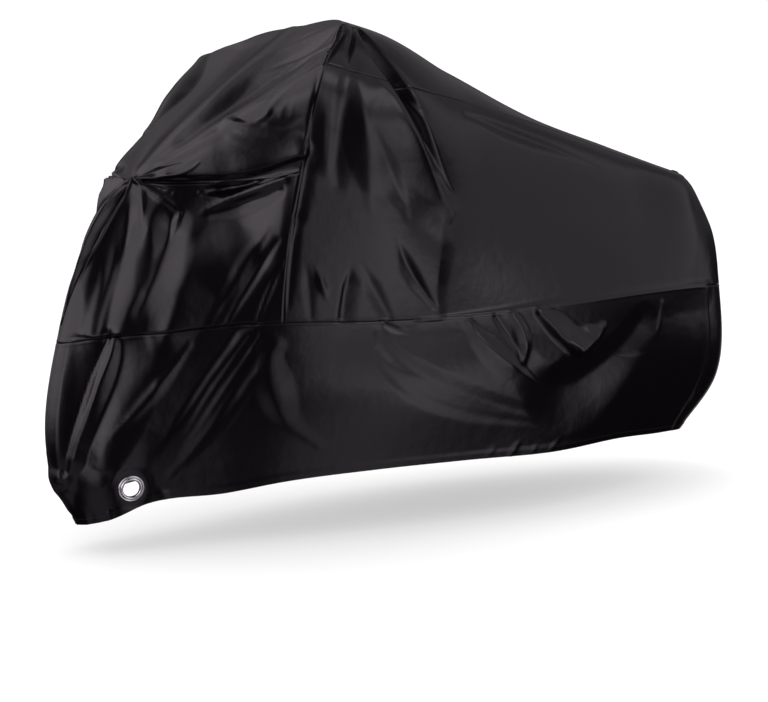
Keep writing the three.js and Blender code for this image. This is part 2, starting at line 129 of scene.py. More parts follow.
# The right side mirrors the left but for these moves: its bar end is lower and further forward.
RIGHT_MOVES: dict[tuple[Station, Level], tuple[float, float, float]] = {
    (Station.FENDER, Level.RIDGE): (-20, 0, -10),
    (Station.FENDER, Level.SHOULDER): (-42, -2, -8),
    (Station.FENDER, Level.BELT): (-58, -8, 10),
    (Station.WHEEL, Level.SHOULDER): (-30, 15, -5),
    (Station.WHEEL, Level.BELT): (-10, 5, 0),
    (Station.FORK, Level.RIDGE): (-20, -10, -22),
    (Station.FORK, Level.SHOULDER): (-20, 20, -2),
    (Station.CROSS, Level.RIDGE): (-45, -32, -32),
    (Station.CROSS, Level.SHOULDER): (-11, 15, 18),
    (Station.BARS, Level.RIDGE): (-10, -15, -25),
}

BOTH = tuple(Side)
NEAR = (Side.LEFT,)
FAR = (Side.RIGHT,)

# How far past a seam, in stations and in levels, a fold may start and still keep to the panel beyond it.
STATION_SLACK = 0.1
LEVEL_SLACK = 0.11


@dataclass(frozen=True)
class Fold:
    """One fold of the left side, through three places given as station and level.

    left and right are its widths on either hand, rise its height with troughs below zero, start and end the
    share of that height at its ends, and crest how round its top is against its width.
    """

    name: str
    start_at: tuple[float, float]
    by: tuple[float, float]
    end_at: tuple[float, float]
    left: float
    right: float
    rise: float
    start: float
    end: float
    crest: float
    sides: tuple[Side, ...] = BOTH
    through: bool = False

    def levels(self) -> tuple[float, float]:
        """The levels that the fold keeps to: its own panel's, unless it runs through the seams.

        Returns:
            The upper and the lower level.
        """
        stations, levels = zip(self.start_at, self.by, self.end_at)
        upper = Level.SHOULDER if min(stations) > Station.CROSS - STATION_SLACK else Level.BELT
        for top, bottom in ((Level.WAIST, Level.HEM), (upper, Level.WAIST)):
            inside = min(levels) > top - LEVEL_SLACK and max(levels) < bottom + LEVEL_SLACK
            if inside and not self.through:
                return top, bottom
        return Level.CROWN, Level.HEM


FOLDS: tuple[Fold, ...] = (
    # Fills of the outline, and the right side's own folds.
    Fold("front seam ridge", (0, 3.04), (0, 3.5), (0, 3.96), 75, 25, 5, 0.1, 0.1, 0.4, NEAR, True),
    Fold("front welt", (0, 3.02), (0, 3.5), (0, 3.98), 10, 10, 6, 0.9, 0.3, 0.2, NEAR, True),
    Fold("toe fill", (0, 4.9), (0, 5.3), (0, 5.7), 60, 60, 14, 0.1, 0.3, 0.8, NEAR, True),
    Fold("top fill", (4.4, 0), (6.5, 0), (9, 0), 120, 120, 7, 0.5, 0.3, 1, NEAR, True),
    Fold("far nose", (0.4, 2.96), (0.66, 3.02), (0.7, 3.2), 45, 45, 13, 0.3, 0.2, 0.6, FAR, True),
    Fold("far ridge", (1.8, 1.94), (3, 1.94), (3.86, 1.98), 70, 70, 25, 0.2, 0.5, 0.7, FAR, True),
    Fold("far shoulder", (3.98, 0.1), (3.98, 0.8), (3.98, 1.5), 70, 70, 7, 0.4, 0.2, 0.8, FAR, True),
    Fold("far front", (0.52, 3.3), (0.42, 3.56), (0.3, 3.84), 60, 60, -15, 0.2, 0.1, 0.7, FAR, True),
    Fold("crown fill", (0.5, 0), (2, 0), (3.8, 0), 90, 90, 8, 0.4, 0.6, 1, NEAR, True),
    Fold("waist ledge", (5.4, 4), (7.4, 4), (9.3, 4), 25, 90, 9, 0.2, 0.8, 0.05, BOTH, True),
    Fold("rear corner", (9.33, 4.05), (9.33, 4.7), (9.36, 5.5), 25, 40, 6, 0.6, 0.4, 0.05),
    # The front panels.
    Fold("front trough", (0.24, 3.1), (0.86, 3.5), (1.14, 3.96), 80, 105, -24, 0.3, 0.35, 0.08, BOTH, True),
    Fold("front trough two", (1.58, 3.26), (1.68, 3.52), (1.56, 3.84), 75, 70, -15, 0.7, 0.3, 0.08),
    Fold("front fold", (2, 3.34), (2.1, 3.68), (2.02, 4.02), 120, 90, 16, 0.4, 0.5, 0.15, BOTH, True),
    Fold("first crease", (0.14, 3), (0.54, 3.08), (0.92, 3.26), 12, 12, 4, 0.6, 0.2, 0.3),
    Fold("second crease", (0.16, 3), (1.04, 3.08), (1.72, 3.2), 10, 10, 6, 0.9, 0.6, 0.2),
    Fold("second crease bend", (1.72, 3.2), (1.7, 3.26), (1.72, 3.38), 14, 14, 3, 0.6, 0.1, 0.2),
    Fold("nose crease", (0.44, 3.02), (1.02, 3.04), (1.64, 3.1), 9, 9, -5, 0.5, 0.1, 0.2),
    Fold("front stripe", (0.42, 3.36), (0.76, 3.6), (0.98, 3.96), 16, 16, -2.5, 0.1, 0.6, 0.3),
    Fold("front stripe two", (0.24, 3.44), (0.54, 3.68), (0.7, 3.96), 16, 18, -2.5, 0.1, 0.7, 0.3),
    Fold("pocket", (2.02, 3.06), (2.5, 3.04), (3.22, 3), 18, 22, -22, 0.3, 0.1, 0.3),
    Fold("pocket lip", (2.14, 3.2), (2.82, 3.08), (3.72, 3.02), 10, 22, 7, 0.2, 0.6, 0.1),
    Fold("low pocket", (3.64, 3.1), (2.96, 3.16), (2.3, 3.22), 26, 24, -10, 0.5, 0.3, 0.4),
    Fold("front belly", (2.14, 3.54), (2.76, 3.5), (3.44, 3.44), 90, 120, 8, 0.3, 0.3, 0.5),
    Fold("slant ridge", (3.52, 3.34), (3.08, 3.62), (2.66, 4.02), 20, 24, 3, 0.3, 0.3, 0.4),
    Fold("slant groove", (3.78, 3.44), (3.34, 3.7), (2.96, 4), 16, 24, -4, 0.5, 0.5, 0.1),
    Fold("slant groove two", (3.92, 3.58), (3.68, 3.8), (3.5, 4.02), 14, 14, -3, 0.4, 0.5, 0.1),
    Fold("seam roll", (3.7, 3.04), (3.76, 3.3), (3.82, 3.62), 45, 110, 6, 0.8, 0.2, 0.3),
    # The cap.
    Fold("cap valley", (3.86, 1.4), (2.82, 0.82), (1.28, 1.18), 140, 110, -22, 0.5, 0.2, 0.12, NEAR),
    Fold("valley head", (3.8, 1.44), (3.34, 1.22), (2.9, 0.94), 30, 30, -16, 0.5, 0.15, 0.15, NEAR),
    Fold("cap crease", (3.78, 1.08), (3.38, 0.88), (3, 0.48), 14, 18, -5, 0.5, 0.1, 0.2, NEAR),
    Fold("cap crease two", (3.82, 0.8), (3.62, 0.5), (3.34, 0.24), 12, 14, -3.5, 0.5, 0.1, 0.3, NEAR),
    Fold("cap stripe", (3.82, 1.82), (3.32, 1.96), (2.98, 2.18), 16, 20, -3, 0.3, 0.1, 0.2, NEAR),
    Fold("cap ridge", (3.96, 2.02), (3.42, 2.02), (3.1, 2.22), 14, 18, 2, 0.6, 0.9, 0.08, NEAR),
    Fold("cap ridge end", (3.1, 2.22), (2.88, 2.26), (2.46, 2.2), 14, 18, 2, 0.9, 0.1, 0.08, NEAR),
    Fold("cap hollow", (3.78, 2.48), (3.2, 2.44), (2.52, 2.26), 20, 24, -1, 0.4, 0.2, 0.4, NEAR),
    Fold("cap wrinkle", (3.44, 2.18), (3.38, 2.3), (3.42, 2.46), 7, 7, 0.5, 0.5, 0.2, 0.3, NEAR),
    Fold("cap wrinkle two", (3.58, 2.24), (3.58, 2.38), (3.64, 2.5), 6, 6, 0.5, 0.6, 0.2, 0.3, NEAR),
    Fold("cap wrinkle three", (3.74, 2.38), (3.88, 2.52), (3.94, 2.68), 8, 8, 0.7, 0.3, 0.3, 0.3, NEAR),
    Fold("cap belly", (1.1, 2.74), (2.5, 2.84), (3.92, 2.84), 125, 20, 25, 0.3, 0.4, 0.15),
    Fold("cap cheek", (3.14, 2.36), (3.12, 2.52), (3.02, 2.7), 150, 170, 11, 0.3, 0.5, 0.3, NEAR),
    Fold("cap tuck", (0.4, 2.98), (2.24, 2.93), (3.98, 2.91), 22, 11, -14, 0.4, 0.8, 0.1),
    Fold("nose ridge", (0.06, 2.7), (1.16, 2.76), (1.78, 2.56), 10, 12, 6, 0.9, 0.2, 0.2, NEAR),
    Fold("nose groove", (0.1, 2.3), (0.6, 2.42), (1.36, 2.48), 10, 9, -5, 0.4, 0.2, 0.2, NEAR),
    # The peak.
    Fold("peak facet", (4.12, 1.02), (3.94, 1.24), (3.88, 1.48), 10, 10, 7, 0.6, 0.3, 0.3, NEAR),
    Fold("peak pleat", (4.24, 1.12), (4.24, 1.56), (4.26, 1.88), 12, 12, -6, 0.5, 0.6, 0.2, NEAR),
    Fold("peak pleat two", (4.08, 1.36), (4.04, 1.7), (4.02, 1.98), 10, 10, -5, 0.5, 0.5, 0.2, NEAR),
    # The sides.
    Fold("seam strip", (3.9, 2.06), (4.04, 2.7), (4.04, 3.28), 36, 14, -3.5, 0.4, 0.9, 0.1),
    Fold("seam strip low", (4.04, 3.28), (4.04, 3.58), (4.04, 3.88), 24, 14, -2.5, 0.9, 0.4, 0.1),
    Fold("strip ridge", (4.18, 2.14), (4.24, 2.66), (4.24, 3.04), 30, 40, 2, 0.4, 0.1, 0.1),
    Fold("hanging valley", (4.32, 1.86), (4.3, 2.48), (4.38, 3), 70, 40, -5, 0.5, 0.4, 0.08),
    Fold("hanging ridge", (4.4, 2.08), (4.6, 2.56), (4.74, 3.08), 85, 60, 6, 0.5, 0.2, 0.06),
    Fold("cone wedge", (4.66, 2.46), (4.96, 2.8), (5.14, 3.1), 24, 44, -3, 0.1, 0.3, 0.1),
    Fold("cone edge", (4.72, 2.08), (5.04, 2.36), (5.58, 3.04), 34, 105, 11, 0.5, 0.2, 0.15),
    Fold("dark wedge", (4.36, 1.14), (4.84, 1.94), (5.58, 2.86), 44, 18, -44, 0.35, 0.08, 0.06),
    Fold("wedge streak", (4.98, 2.04), (5.14, 2.16), (5.3, 2.32), 12, 14, -5, 0.3, 0.1, 0.2),
    Fold("low groove", (5.06, 3.28), (5.26, 3.58), (5.54, 3.9), 22, 30, -5.5, 0.1, 0.4, 0.06),
    Fold("side edge", (5.62, 3.02), (5.52, 3.38), (5.56, 3.92), 50, 120, 9, 0.3, 0.6, 0.08),
    Fold("waist pleat", (4.64, 3.54), (4.6, 3.74), (4.58, 3.96), 46, 14, -5, 0, 1, 0.1),
    Fold("waist pleat left", (4.18, 3.58), (4.22, 3.76), (4.26, 3.96), 30, 14, -2.2, 0.1, 0.6, 0.15),
    Fold("waist pleat right", (4.74, 3.54), (4.92, 3.76), (5.06, 3.96), 24, 34, -3, 0.1, 0.8, 0.2),
    Fold("waist ridge", (4.28, 3.6), (4.36, 3.72), (4.42, 3.84), 16, 16, 3, 0.2, 0.2, 0.2),
    Fold("shoulder dip", (5.74, 2.14), (6.5, 2.24), (7.52, 2.42), 14, 40, -8, 0.3, 0.1, 0.2),
    # The skirts at the front.
    Fold("toe ridge", (0.34, 3.92), (0.36, 4.46), (0.24, 5.18), 40, 20, 5, 0.5, 0.5, 0.06),
    Fold("toe groove", (1.14, 3.96), (1.04, 4.26), (0.24, 5.28), 26, 105, -24, 0.12, 0.2, 0.06, BOTH, True),
    Fold("toe groove two", (1.36, 4), (1.3, 4.58), (0.3, 5.42), 110, 75, -23, 0.6, 0.4, 0.06),
    Fold("toe belly", (2.06, 4.04), (1.7, 4.56), (0.86, 5.22), 300, 110, 12, 0.5, 0.3, 0.15, BOTH, True),
    Fold("toe streak", (2.44, 4.14), (1.94, 4.56), (1.38, 4.84), 22, 22, 5, 0.3, 0.2, 0.4),
    Fold("eyelet groove", (3.16, 4.06), (2.64, 4.6), (2.16, 5.12), 22, 300, -7, 1, 0.15, 0.06),
    Fold("eyelet line", (3.44, 4.12), (2.92, 4.62), (2.4, 5.2), 8, 8, -2.5, 1, 0.1, 0.2),
    Fold("eyelet line two", (3.62, 4.12), (3.1, 4.66), (2.54, 5.2), 8, 8, -2.5, 1, 0.1, 0.2),
    Fold("eyelet valley", (3.54, 4.3), (3.12, 4.84), (2.32, 5.62), 34, 70, -5, 0.4, 0.15, 0.1),
    Fold("eyelet ridge", (3.64, 4.42), (3.32, 4.82), (2.66, 5.4), 22, 26, 2, 0.3, 0.1, 0.4),
    Fold("belly edge", (3.86, 4.24), (3.78, 4.76), (4.36, 5.56), 70, 40, 6, 0.4, 0.2, 0.25),
    # The skirts at the rear.
    Fold("sweep", (4.98, 4.12), (5.6, 4.88), (7.3, 5.62), 40, 40, -3.5, 0.6, 0.1, 0.5),
    Fold("low sweep", (4.96, 4.46), (5.62, 5.12), (7.04, 5.64), 40, 40, -3.5, 0.2, 0.1, 0.5),
    Fold("seam tuck", (4.98, 3.98), (5.1, 4.08), (5.32, 4.18), 8, 14, -3.5, 0.6, 0.1, 0.2),
    Fold("rear edge", (5.92, 4.08), (6.26, 4.58), (6.86, 5.16), 30, 50, 7, 0.4, 0.2, 0.06),
    Fold("pleat", (6.2, 4.04), (6.34, 4.3), (6.48, 4.6), 24, 12, -5, 0.7, 0.2, 0.08),
    Fold("pleat ridge", (6.4, 4.04), (6.54, 4.36), (6.54, 4.68), 16, 44, 8, 0.6, 0.3, 0.15),
    Fold("vee", (6.68, 4.08), (6.94, 4.42), (7.16, 4.64), 60, 20, 17, 0.5, 1, 0.06),
    Fold("vee back", (7.16, 4.64), (7.32, 4.56), (7.48, 4.4), 60, 20, 17, 1, 0.3, 0.06),
    Fold("rear hollow", (6.58, 4.78), (7.16, 5.12), (7.98, 4.4), 110, 150, -20, 0.3, 0.4, 0.15),
    Fold("rear strip", (8.32, 4.16), (8.3, 4.4), (8.22, 4.66), 10, 10, 5, 0.6, 0.1, 0.2),
    Fold("rear line", (7.6, 4.74), (7.84, 4.8), (8.12, 4.78), 8, 8, -3, 0.2, 0.2, 0.3),
    # The gathered hem.
    Fold("hem wrinkle nine", (8.62, 5.98), (8.6, 5.9), (8.56, 5.78), 14, 10, 1.4, 0.8, 0.1, 0.3),
    Fold("hem wrinkle eight", (6.96, 5.98), (7.02, 5.9), (7.12, 5.8), 15, 10, 1.5, 0.6, 0.1, 0.3),
    Fold("hem wrinkle seven", (6.74, 5.98), (6.76, 5.92), (6.82, 5.84), 9, 12, 1, 0.8, 0.1, 0.3),
    Fold("hem wrinkle six", (6.48, 5.99), (6.52, 5.88), (6.6, 5.76), 12, 18, 2.1, 0.8, 0.1, 0.3),
    Fold("hem wrinkle five", (6.22, 5.98), (6.26, 5.9), (6.34, 5.82), 16, 12, 1.2, 0.5, 0.1, 0.3),
    Fold("hem wrinkle four", (2.24, 5.98), (2.2, 5.88), (2.12, 5.74), 18, 12, 1.5, 0.8, 0.1, 0.3),
    Fold("hem wrinkle three", (0.98, 5.99), (1.02, 5.9), (1.1, 5.78), 12, 9, 2, 0.8, 0.1, 0.3),
    Fold("hem wrinkle two", (0.72, 5.98), (0.72, 5.92), (0.7, 5.8), 9, 14, 1.2, 0.6, 0.1, 0.3),
    Fold("hem wrinkle", (0.42, 5.98), (0.46, 5.9), (0.52, 5.72), 16, 12, 2.2, 0.8, 0.1, 0.3),
)

# The steps of a fold's path, the shape of its flanks, the margin in millimetres over which it fades past its
# panel, and the shares of its length that it fades over and of its width that a faded end keeps.
FOLD_STEPS = 48
FOLD_SHOULDER = 1.3
FOLD_MARGIN = 10.0
FADE_SHARE = 0.45
END_WIDTH = 0.2

# The right side's folds lie this far further back, in stations, and are this share as high.
RIGHT_FOLD_SHIFT = 0.07
RIGHT_FOLD_SHARE = 0.85
LAST_FOLD_STATION = Station.REAR - 0.01


@dataclass(frozen=True)
class Seam:
    """A sewn line of the cover, at one station or one level, from one end to the other along the other count.

    depth is how far the seam sinks and lip how far the cloth stands up beside it, in millimetres.
    """

    name: str
    at: float
    start: float
    stop: float
    along_level: bool
    depth: float
    lip: float


# How far a seam's groove reaches, how far off its lips stand and how far they reach, then the turned hem's
# width, its rise and the step above it, in millimetres.
SEAM_REACH = 2.6
LIP_OFFSET = 5.0
LIP_REACH = 3.0
HEM_WIDTH = 20.0
HEM_RISE = 1.2
HEM_STEP = 5.0

# The station of the seam between a side's skirt and the rear's.
REAR_SEAM = 28 / 3
SEAMS: tuple[Seam, ...] = (
    Seam("front seam", Station.NOSE, Level.BELT, Level.HEM, False, 1.2, 2.4),
    Seam("cross seam", Station.CROSS, Level.CROWN, Level.WAIST, False, 0.7, 0.2),
    Seam("rear seam", REAR_SEAM, Level.WAIST, Level.HEM, False, 1.6, 0.6),
    Seam("rear middle seam", Station.REAR, Level.SHOULDER, Level.WAIST, False, 1.6, 0.6),
    Seam("top seam", Level.SHOULDER, Station.CROSS, Station.REAR, True, 1.4, 0.2),
    Seam("cap seam", Level.BELT, Station.NOSE, Station.CROSS, True, 1.2, 0.4),
    Seam("waist seam", Level.WAIST, Station.NOSE, Station.REAR, True, 0.9, 0.5),
)


def ease(x: np.ndarray) -> np.ndarray:
    """A smooth step from 0 to 1."""
    t = np.clip(x, 0.0, 1.0)
    return t * t * (3.0 - 2.0 * t)


def length(vectors: np.ndarray) -> np.ndarray:
    """The length of each vector along the last axis."""
    return np.sqrt((vectors * vectors).sum(axis=-1))


def curve_at(knots: np.ndarray, t: np.ndarray, crease: int = -1) -> np.ndarray:
    """Points on smooth curves through knots at whole numbers, with one knot beyond each end.

    Args:
        knots: The knots in millimetres, of shape (1 or n, count, 3).
        t: Where on each curve, of shape (n,).
        crease: The knot at which the curves turn a corner.

    Returns:
        The points, of shape (n, 3).
    """
    least_run = 1.0
    rows = np.arange(len(t)) if len(knots) > 1 else np.zeros(len(t), int)
    first = np.clip(np.floor(t).astype(int), 0, knots.shape[1] - 4)
    f = (t - first)[:, None]
    a, b, c, d = (knots[rows, first + k] for k in range(4))
    ab, bc, cd = (np.maximum(length(q - p), least_run)[:, None] for p, q in ((a, b), (b, c), (c, d)))
    run_ab, run_bc, run_cd = (b - a) / ab, (c - b) / bc, (d - c) / cd
    leave = np.where((first == crease)[:, None], run_bc, (run_ab * bc + run_bc * ab) / (ab + bc))
    arrive = np.where((first + 1 == crease)[:, None], run_bc, (run_bc * cd + run_cd * bc) / (bc + cd))
    return ((2 * f**3 - 3 * f**2 + 1) * b + (f**3 - 2 * f**2 + f) * bc * leave
            + (3 * f**2 - 2 * f**3) * c + (f**3 - f**2) * bc * arrive)


class DrapedShape:
    """The smooth cloth as it hangs, before its folds, addressed by side, station and level."""

    def __init__(self) -> None:
        """Reads the ribs of both sides."""
        self.guides = {side: self._guide_points(side) for side in Side}

    @staticmethod
    def _guide_points(side: Side) -> np.ndarray:
        """The guide points of one side.

        Args:
            side: The side of the cover.

        Returns:
            The points, of shape (stations, levels, 3).
        """
        points = np.array([RIBS[station] for station in Station], float)
        if side is Side.RIGHT:
            points[1:, 1:, 1] *= -1
            for (station, level), move in RIGHT_MOVES.items():
                points[station, level] += move
        return points

    def guide(self, side: Side, station: np.ndarray, level: int) -> np.ndarray:
        """Where one level stands at each station. Round the tail the shoulder runs along the top panel's end.

        Args:
            side: The side of the cover.
            station: The stations, of shape (n,).
            level: The level line to follow.

        Returns:
            The points, of shape (n, 3).
        """
        own, other = self.guides[side][:, level], self.guides[side.other][:, level]
        before = 2 * own[0] - own[1] if level < Level.BELT else other[1]
        crease = Station.CROSS if level < Level.WAIST else -1
        points = curve_at(np.vstack([before, own, other[-2]])[None], station, crease)
        round_tail = station > Station.LAMP
        if level == Level.SHOULDER and round_tail.any():
            across = Station.LAMP + Level.SHOULDER - station[round_tail]
            points[round_tail] = self.point(side, np.full(len(across), float(Station.LAMP)), across)
        return points

    def point(self, side: Side, station: np.ndarray, level: np.ndarray) -> np.ndarray:
        """Points of the smooth cloth.

        Args:
            side: The side of the cover.
            station: The stations, of shape (n,).
            level: The levels, of shape (n,).

        Returns:
            The points in millimetres above the ground, of shape (n, 3).
        """
        rib = [self.guide(side, station, k) for k in Level]
        over = self.guide(side.other, station, Level.RIDGE)
        below = 2 * rib[Level.HEM] - rib[Level.SKIRT]
        return curve_at(np.stack([over, *rib, below], axis=1), level)

    def one(self, side: Side, station: float, level: float) -> np.ndarray:
        """One point of the smooth cloth."""
        return self.point(side, np.array([station], float), np.array([level], float))[0]

    def facing(self, side: Side, station: float, level: float) -> np.ndarray:
        """The way the smooth cloth faces at one place.

        Args:
            side: The side of the cover.
            station: The place's station.
            level: The place's level.

        Returns:
            The unit vector out of the cloth.
        """
        step = 0.02
        along = self.one(side, station + step, level) - self.one(side, station - step, level)
        down = self.one(side, station, level + step) - self.one(side, station, level - step)
        out = np.cross(along, down) * side.value
        return out / np.linalg.norm(out)


@dataclass(frozen=True)
class GridSizes:
    """How finely the cloth is divided: its pitch and the closer lines beside each seam, in millimetres.

    The top has top_cells rows to a level, of which the first top_rows are laid out, and then the closer
    levels of top_edge down to the shoulder.
    """

    pitch: float = 6.2
    beside_seam: tuple[float, ...] = (0.0, 2.0, 4.0, 6.0, 8.0, 10.5, 14.0)
    top_cells: int = 30
    top_rows: int = 57
    top_edge: tuple[float, ...] = (1.905, 1.93, 1.945, 1.96, 1.973, 1.987)

    def top(self) -> np.ndarray:
        """The levels of the rows from the crown up to but not at the shoulder."""
        return np.append(np.arange(self.top_rows) / self.top_cells, self.top_edge)

    def lines(self, start: int, span: float, seam_before: bool, seam_after: bool) -> np.ndarray:
        """Grid lines from one whole number to the next, closer beside a seam.

        Args:
            start: The whole number to start from.
            span: The real length from start to the next whole number, in millimetres.
            seam_before: Whether a seam runs along the start.
            seam_after: Whether a seam runs along the end.

        Returns:
            The lines from start up to but not at the next whole number.
        """
        near = np.array(self.beside_seam)
        low = near if seam_before else near[:1]
        high = span - (near[:0:-1] if seam_after else near[:1])
        count = max(int(round((high[0] - low[-1]) / self.pitch)), 1)
        middle = np.linspace(low[-1], high[0], count + 1)[1:-1]
        return start + np.concatenate([low, middle, high if seam_after else high[:0]]) / span

    def run(self, spans: np.ndarray, counts: range, along_level: bool) -> list[np.ndarray]:
        """Grid lines from each of some whole numbers, levels or stations, up to but not at the next."""
        seams = {seam.at for seam in SEAMS if seam.along_level is along_level}
        return [self.lines(k, spans[k], k in seams, k + 1 in seams) for k in counts]


@dataclass(frozen=True)
class EyeletPlace:
    """Where an eyelet sits, above the ground, and how far round it the cloth is flat, in millimetres."""

    side: Side
    at: np.ndarray
    facing: np.ndarray
    flat: float = 38.0
    fade: float = 62.0
    hole: float = 25.6


class ClothMesh:
    """The whole cloth as one fine mesh of both sides, with its folds, from which the panels are cut."""

    def __init__(self, shape: DrapedShape, sizes: GridSizes) -> None:
        """Lays out the grid and works out its points, faces and normals.

        Args:
            shape: The smooth cloth.
            sizes: How finely to divide it.
        """
        self.shape = shape
        self._lay_out(sizes)
        self._weld()
        self._list_faces()
        self.base_normals = self._normals(self.base)
        self.points = self.base.copy()
        self.normals = self.base_normals

    def _lay_out(self, sizes: GridSizes) -> None:
        """Chooses the stations of the columns and the levels of the rows.

        Args:
            sizes: How finely to divide the cloth.
        """
        left = self.shape.guides[Side.LEFT]
        spans = length(np.diff(left[:, Level.WAIST], axis=0))
        level_spans = length(np.diff(left[Station.BARS], axis=0))
        top = sizes.top()
        rows = sizes.run(level_spans, range(Level.SHOULDER, Level.HEM), True)
        self.rows = np.concatenate([top, *rows, [Level.HEM]])
        columns = sizes.run(spans, range(Station.LAMP), False)
        self.columns = np.concatenate([*columns, Station.REAR - np.append(top, Level.SHOULDER)[::-1]])
        self.along = np.interp(self.columns, list(Station), np.append(0, np.cumsum(spans)))
        self.down = np.interp(self.rows, list(Level), np.append(0, np.cumsum(level_spans)))

    def _weld(self) -> None:
        """Works out the smooth points of both sides and joins those that coincide."""
        columns, rows = np.meshgrid(self.columns, self.rows, indexing="ij")
        used = ~((columns > Station.LAMP) & (rows < Level.SHOULDER))
        points, per_level, per_station = [], [], []
        for side in Side:
            grid = self.shape.point(side, columns.ravel(), rows.ravel()).reshape(*columns.shape, 3)
            points.append(grid[used])
            per_level.append((length(np.gradient(grid, axis=1)) / np.gradient(self.rows)[None])[used])
            per_station.append((length(np.gradient(grid, axis=0)) / np.gradient(self.columns)[:, None])[used])
        all_points = np.concatenate(points)
        decimals = 2
        rounded = np.round(all_points, decimals)
        _, first, joined = np.unique(rounded, axis=0, return_index=True, return_inverse=True)
        self.joined = joined.ravel()
        self.base = all_points[first]
        self.place = np.tile(np.stack([columns[used], rows[used]], axis=1), (len(Side), 1))
        self.per_level, self.per_station = np.concatenate(per_level), np.concatenate(per_station)
        self.level, self.level_span = np.zeros(len(first)), np.zeros(len(first))
        self.level[self.joined], self.level_span[self.joined] = self.place[:, 1], self.per_level
        self.grids = {}
        for side, numbers in zip(Side, np.split(self.joined, len(Side))):
            self.grids[side] = np.full(columns.shape, -1)
            self.grids[side][used] = numbers

    def _list_faces(self) -> None:
        """Lists the faces of both sides: their corners, places on the flat cut, middles and sides."""
        columns, rows = ((lines[:-1] + lines[1:]) / 2 for lines in (self.columns, self.rows))
        faces = []
        for side, grid in self.grids.items():
            quad = np.stack([grid[:-1, :-1], grid[:-1, 1:], grid[1:, 1:], grid[1:, :-1]], axis=-1)
            i, j = np.nonzero((quad >= 0).all(axis=-1))
            front, back, top, bottom = self.along[i], self.along[i + 1], -self.down[j], -self.down[j + 1]
            uv = np.stack([front, top, front, bottom, back, bottom, back, top], axis=-1) * MM
            uv = uv.reshape(-1, 4, 2)
            middle = np.stack([columns[i], rows[j]], axis=1)
            outwards = slice(None, None, -side.value)
            faces.append((quad[i, j][:, outwards], uv[:, outwards], middle, np.full(len(i), side.value)))
        self.corners, self.uvs, self.cells, self.face_sides = (np.concatenate(part) for part in zip(*faces))

    def _normals(self, points: np.ndarray) -> np.ndarray:
        """The way the cloth faces at each of its points.

        Args:
            points: The cloth's points, of shape (n, 3).

        Returns:
            The unit vectors, of shape (n, 3).
        """
        a, b, c, d = (points[self.corners[:, k]] for k in range(4))
        face = np.cross(c - a, d - b)
        normals = np.zeros_like(points)
        for k in range(4):
            np.add.at(normals, self.corners[:, k], face)
        return normals / np.maximum(length(normals), TINY)[:, None]

    def on_hem(self) -> np.ndarray:
        """Whether each point lies on the hem.

        Returns:
            The answers, of shape (n,).
        """
        found = np.zeros(len(self.base), bool)
        found[self.joined[self.place[:, 1] >= Level.HEM - TINY]] = True
        return found

    def at(self, side: Side, stations: np.ndarray, levels: np.ndarray) -> tuple[np.ndarray, np.ndarray]:
        """Places on the draped cloth, between its grid lines too.

        Args:
            side: The side of the cover.
            stations: The stations, of shape (n,).
            levels: The levels, of shape (n,).

        Returns:
            The points in millimetres above the ground and the way the cloth faces, both of shape (n, 3).
        """
        i = np.clip(np.searchsorted(self.columns, stations, "right") - 1, 0, len(self.columns) - 2)
        j = np.clip(np.searchsorted(self.rows, levels, "right") - 1, 0, len(self.rows) - 2)
        f = ((stations - self.columns[i]) / (self.columns[i + 1] - self.columns[i]))[:, None]
        g = ((levels - self.rows[j]) / (self.rows[j + 1] - self.rows[j]))[:, None]
        found = []
        for values in (self.points, self.normals):
            a, b, c, d = (values[self.grids[side][i + x, j + y]] for x, y in ((0, 0), (1, 0), (0, 1), (1, 1)))
            found.append((a * (1 - f) + b * f) * (1 - g) + (c * (1 - f) + d * f) * g)
        return found[0], found[1] / np.maximum(length(found[1]), TINY)[:, None]

    def fold_path(self, fold: Fold, side: Side) -> np.ndarray:
        """The line of a fold's crest on the smooth cloth.

        Args:
            fold: The fold.
            side: The side that it is on.

        Returns:
            Points along the line, of shape (FOLD_STEPS + 1, 3).
        """
        t = np.linspace(0, 1, FOLD_STEPS + 1)
        weights = np.stack([(1 - t) * (1 - 2 * t), 4 * t * (1 - t), t * (2 * t - 1)], axis=1)
        stations, levels = (weights @ np.array([fold.start_at, fold.by, fold.end_at])).T
        shift = RIGHT_FOLD_SHIFT if side is Side.RIGHT else 0.0
        return self.shape.point(side, np.minimum(stations + shift, LAST_FOLD_STATION), levels)

